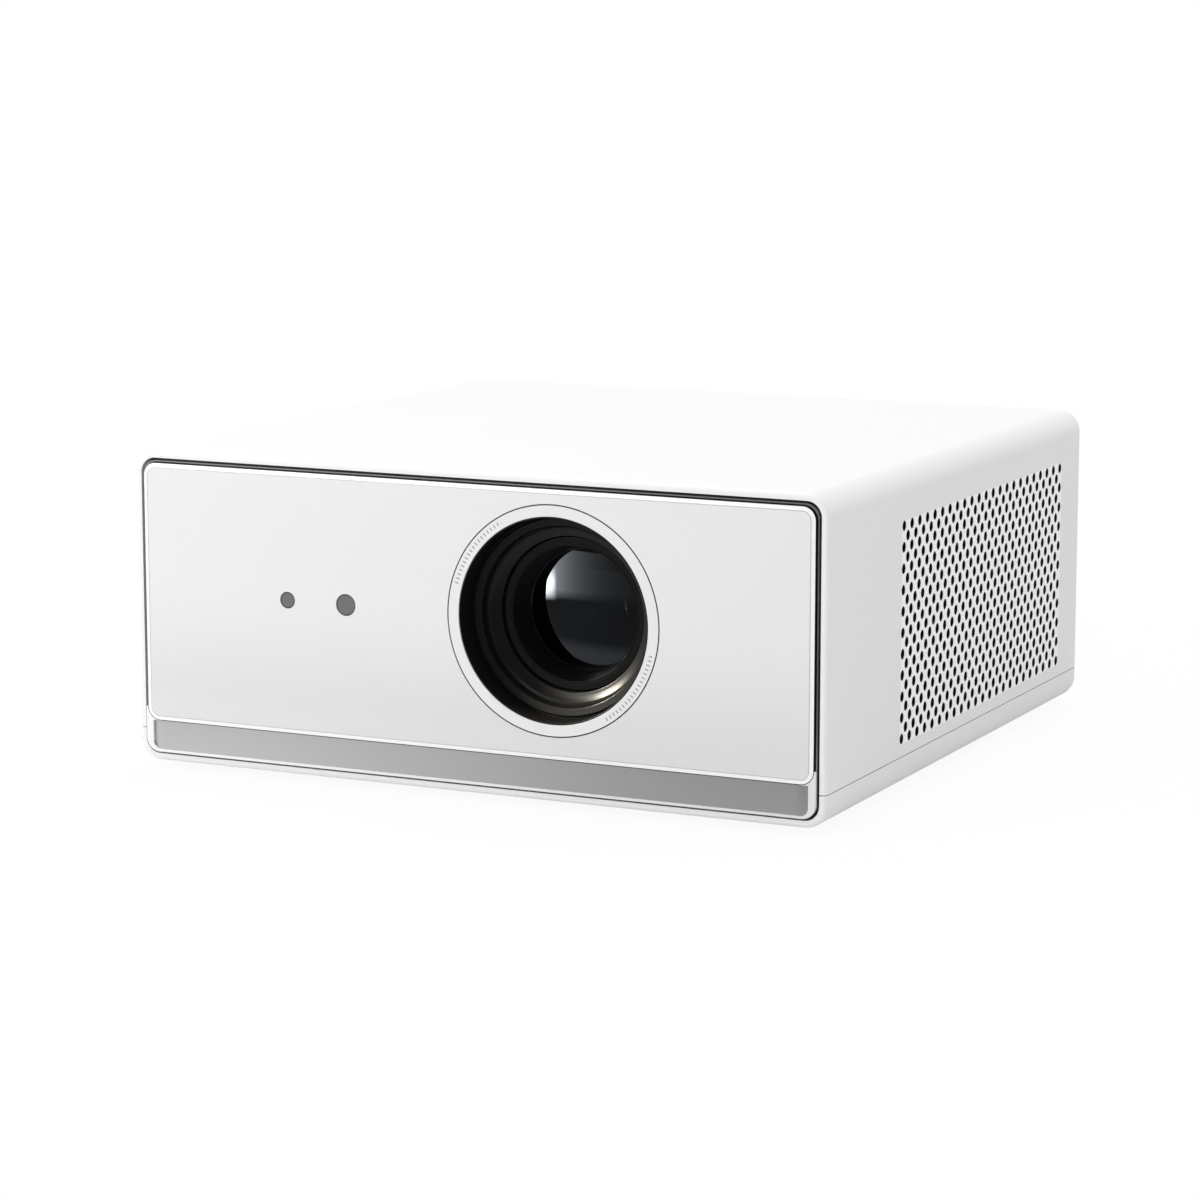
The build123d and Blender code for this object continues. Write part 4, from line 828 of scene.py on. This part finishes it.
def grade(light, fall, soft):
    """Gives a lamp soft edges.

    Its strength is a power of `fall` that grows from its left side to its right, and drops to
    nought at its sides, top and bottom, the more softly the lower the numbers in `soft`.
    """
    light.data.use_nodes = True
    tree = light.data.node_tree
    split = axes_of(tree, tree.nodes.new("ShaderNodeNewGeometry").outputs["Parametric"])
    across = split["X"]
    up = math_node(tree, "SUBTRACT", 1.0, split["Y"])
    strength = math_node(tree, "POWER", fall, across)
    sides = math_node(tree, "MULTIPLY", across, math_node(tree, "SUBTRACT", 1.0, across))
    top = math_node(tree, "SUBTRACT", 1.0, up)
    for distance, steepness in zip((sides, top, up), soft):
        edge = math_node(tree, "MINIMUM", math_node(tree, "MULTIPLY", distance, float(steepness)), 1.0)
        strength = math_node(tree, "MULTIPLY", strength, edge)
    link(tree, strength, tree.nodes["Emission"].inputs["Strength"])


def flag(light, piece, state):
    """Keeps a lamp to one piece (INCLUDE) or off it (EXCLUDE)."""
    lit = bpy.data.collections.new(light.name + "_flags")
    lit.objects.link(piece)
    for member in lit.collection_objects:
        member.light_linking.link_state = state
    light.light_linking.receiver_collection = lit


def world():
    """An even pale world that reads as white from the camera, in gloss and through glass.

    In gloss it falls off to dark in front of the object.
    """
    sky = bpy.data.worlds.new("studio")
    bpy.context.scene.world = sky
    sky.use_nodes = True
    tree = sky.node_tree
    background = tree.nodes["Background"]
    background.inputs["Color"].default_value = (0.985, 0.985, 0.99, 1)
    background.inputs["Strength"].default_value = world_level
    white = tree.nodes.new("ShaderNodeBackground")
    white.inputs["Color"].default_value = (1, 1, 1, 1)
    seen, glossy = seen_rays(tree)
    split = axes_of(tree, tree.nodes.new("ShaderNodeTexCoord").outputs["Generated"])
    unlit = map_range(tree, split["Y"], (*front_fade, 0.0, 1.0 - front_dark))
    shade = math_node(tree, "MULTIPLY", unlit, glossy)
    link(tree, math_node(tree, "SUBTRACT", 1.0, shade), white.inputs["Strength"])
    mix = tree.nodes.new("ShaderNodeMixShader")
    link(tree, seen, mix.inputs["Fac"])
    link(tree, background.outputs[0], mix.inputs[1])
    link(tree, white.outputs[0], mix.inputs[2])
    link(tree, mix.outputs[0], tree.nodes["World Output"].inputs["Surface"])


def lights(lens, hood):
    """A broad lamp overhead, a soft one at the front left, and three for the lens and the hood alone."""
    soft_light("overhead", (0.0, 0.1, 2.4), (0, 0, 0), (2.6, 2.6), 33)

    key = soft_light("front_left", (-0.75, -1.0, 0.45), (0.0, -0.14, 0.07), (0.9, 0.9), 11.5)
    grade(key, 1.0, (5, 2.5, 2.5))
    flag(key, lens, "EXCLUDE")

    lens_middle = (0.034, -0.115, 0.064)
    glow = soft_light("lens_glow", (-0.177, -0.568, 0.064), lens_middle, (0.3, 0.122), 1.8)
    grade(glow, 0.003, (25, 5, 40))
    flag(glow, lens, "INCLUDE")
    spark = soft_light("lens_spark", (-0.288, -0.5, 0.04), lens_middle, (0.085, 0.08), 1.0)
    grade(spark, 1.0, (4, 2, 2.5))
    flag(spark, lens, "INCLUDE")

    warm = (1.0, 0.92, 0.78)
    gleam = soft_light("hood_spark", (-0.89, -0.64, 0.586), (0.05, -0.128, 0.045), (0.32, 0.26), 75, warm)
    grade(gleam, 1.0, (6, 3, 3))
    flag(gleam, hood, "INCLUDE")


def camera():
    data = bpy.data.cameras.new("camera")
    data.sensor_width = 36.0
    data.lens = camera_lens
    data.clip_end = 200.0
    eye = bpy.data.objects.new("camera", data)
    bpy.context.scene.collection.objects.link(eye)
    eye.location = camera_place
    eye.rotation_euler = (math.radians(90 - camera_pitch), 0, math.radians(camera_azimuth))
    bpy.context.scene.camera = eye


def lens_pieces(finishes):
    """The turned pieces round the lens; gives the front element and the hood, for their own lamps."""
    ring = turned_ring("white_ring", ring_profile, "case", "lens_trim_ring")
    hood = turned_ring("stepped_hood", hood_profile, "case", "lens_hood")
    collar = turned_ring("lens_collar", collar_profile, "barrel", "lens_retainer")
    barrel = turned_ring("lens_tube", barrel_profile, "barrel", "lens_barrel")
    lens = lens_dome()
    lens.data.materials.append(finishes["lens_glass"])
    ring.data.materials.append(finishes["ring_white"])
    for piece in (hood, collar, barrel):
        piece.data.materials.append(finishes["hood_black"])
    return lens, hood


camera()
finishes = materials()
dress_nodes(finishes)
grille_plate().data.materials.append(plate_material())
lens, hood = lens_pieces(finishes)
floor()
world()
lights(lens, hood)
bpy.context.scene.view_settings.view_transform = "Standard"
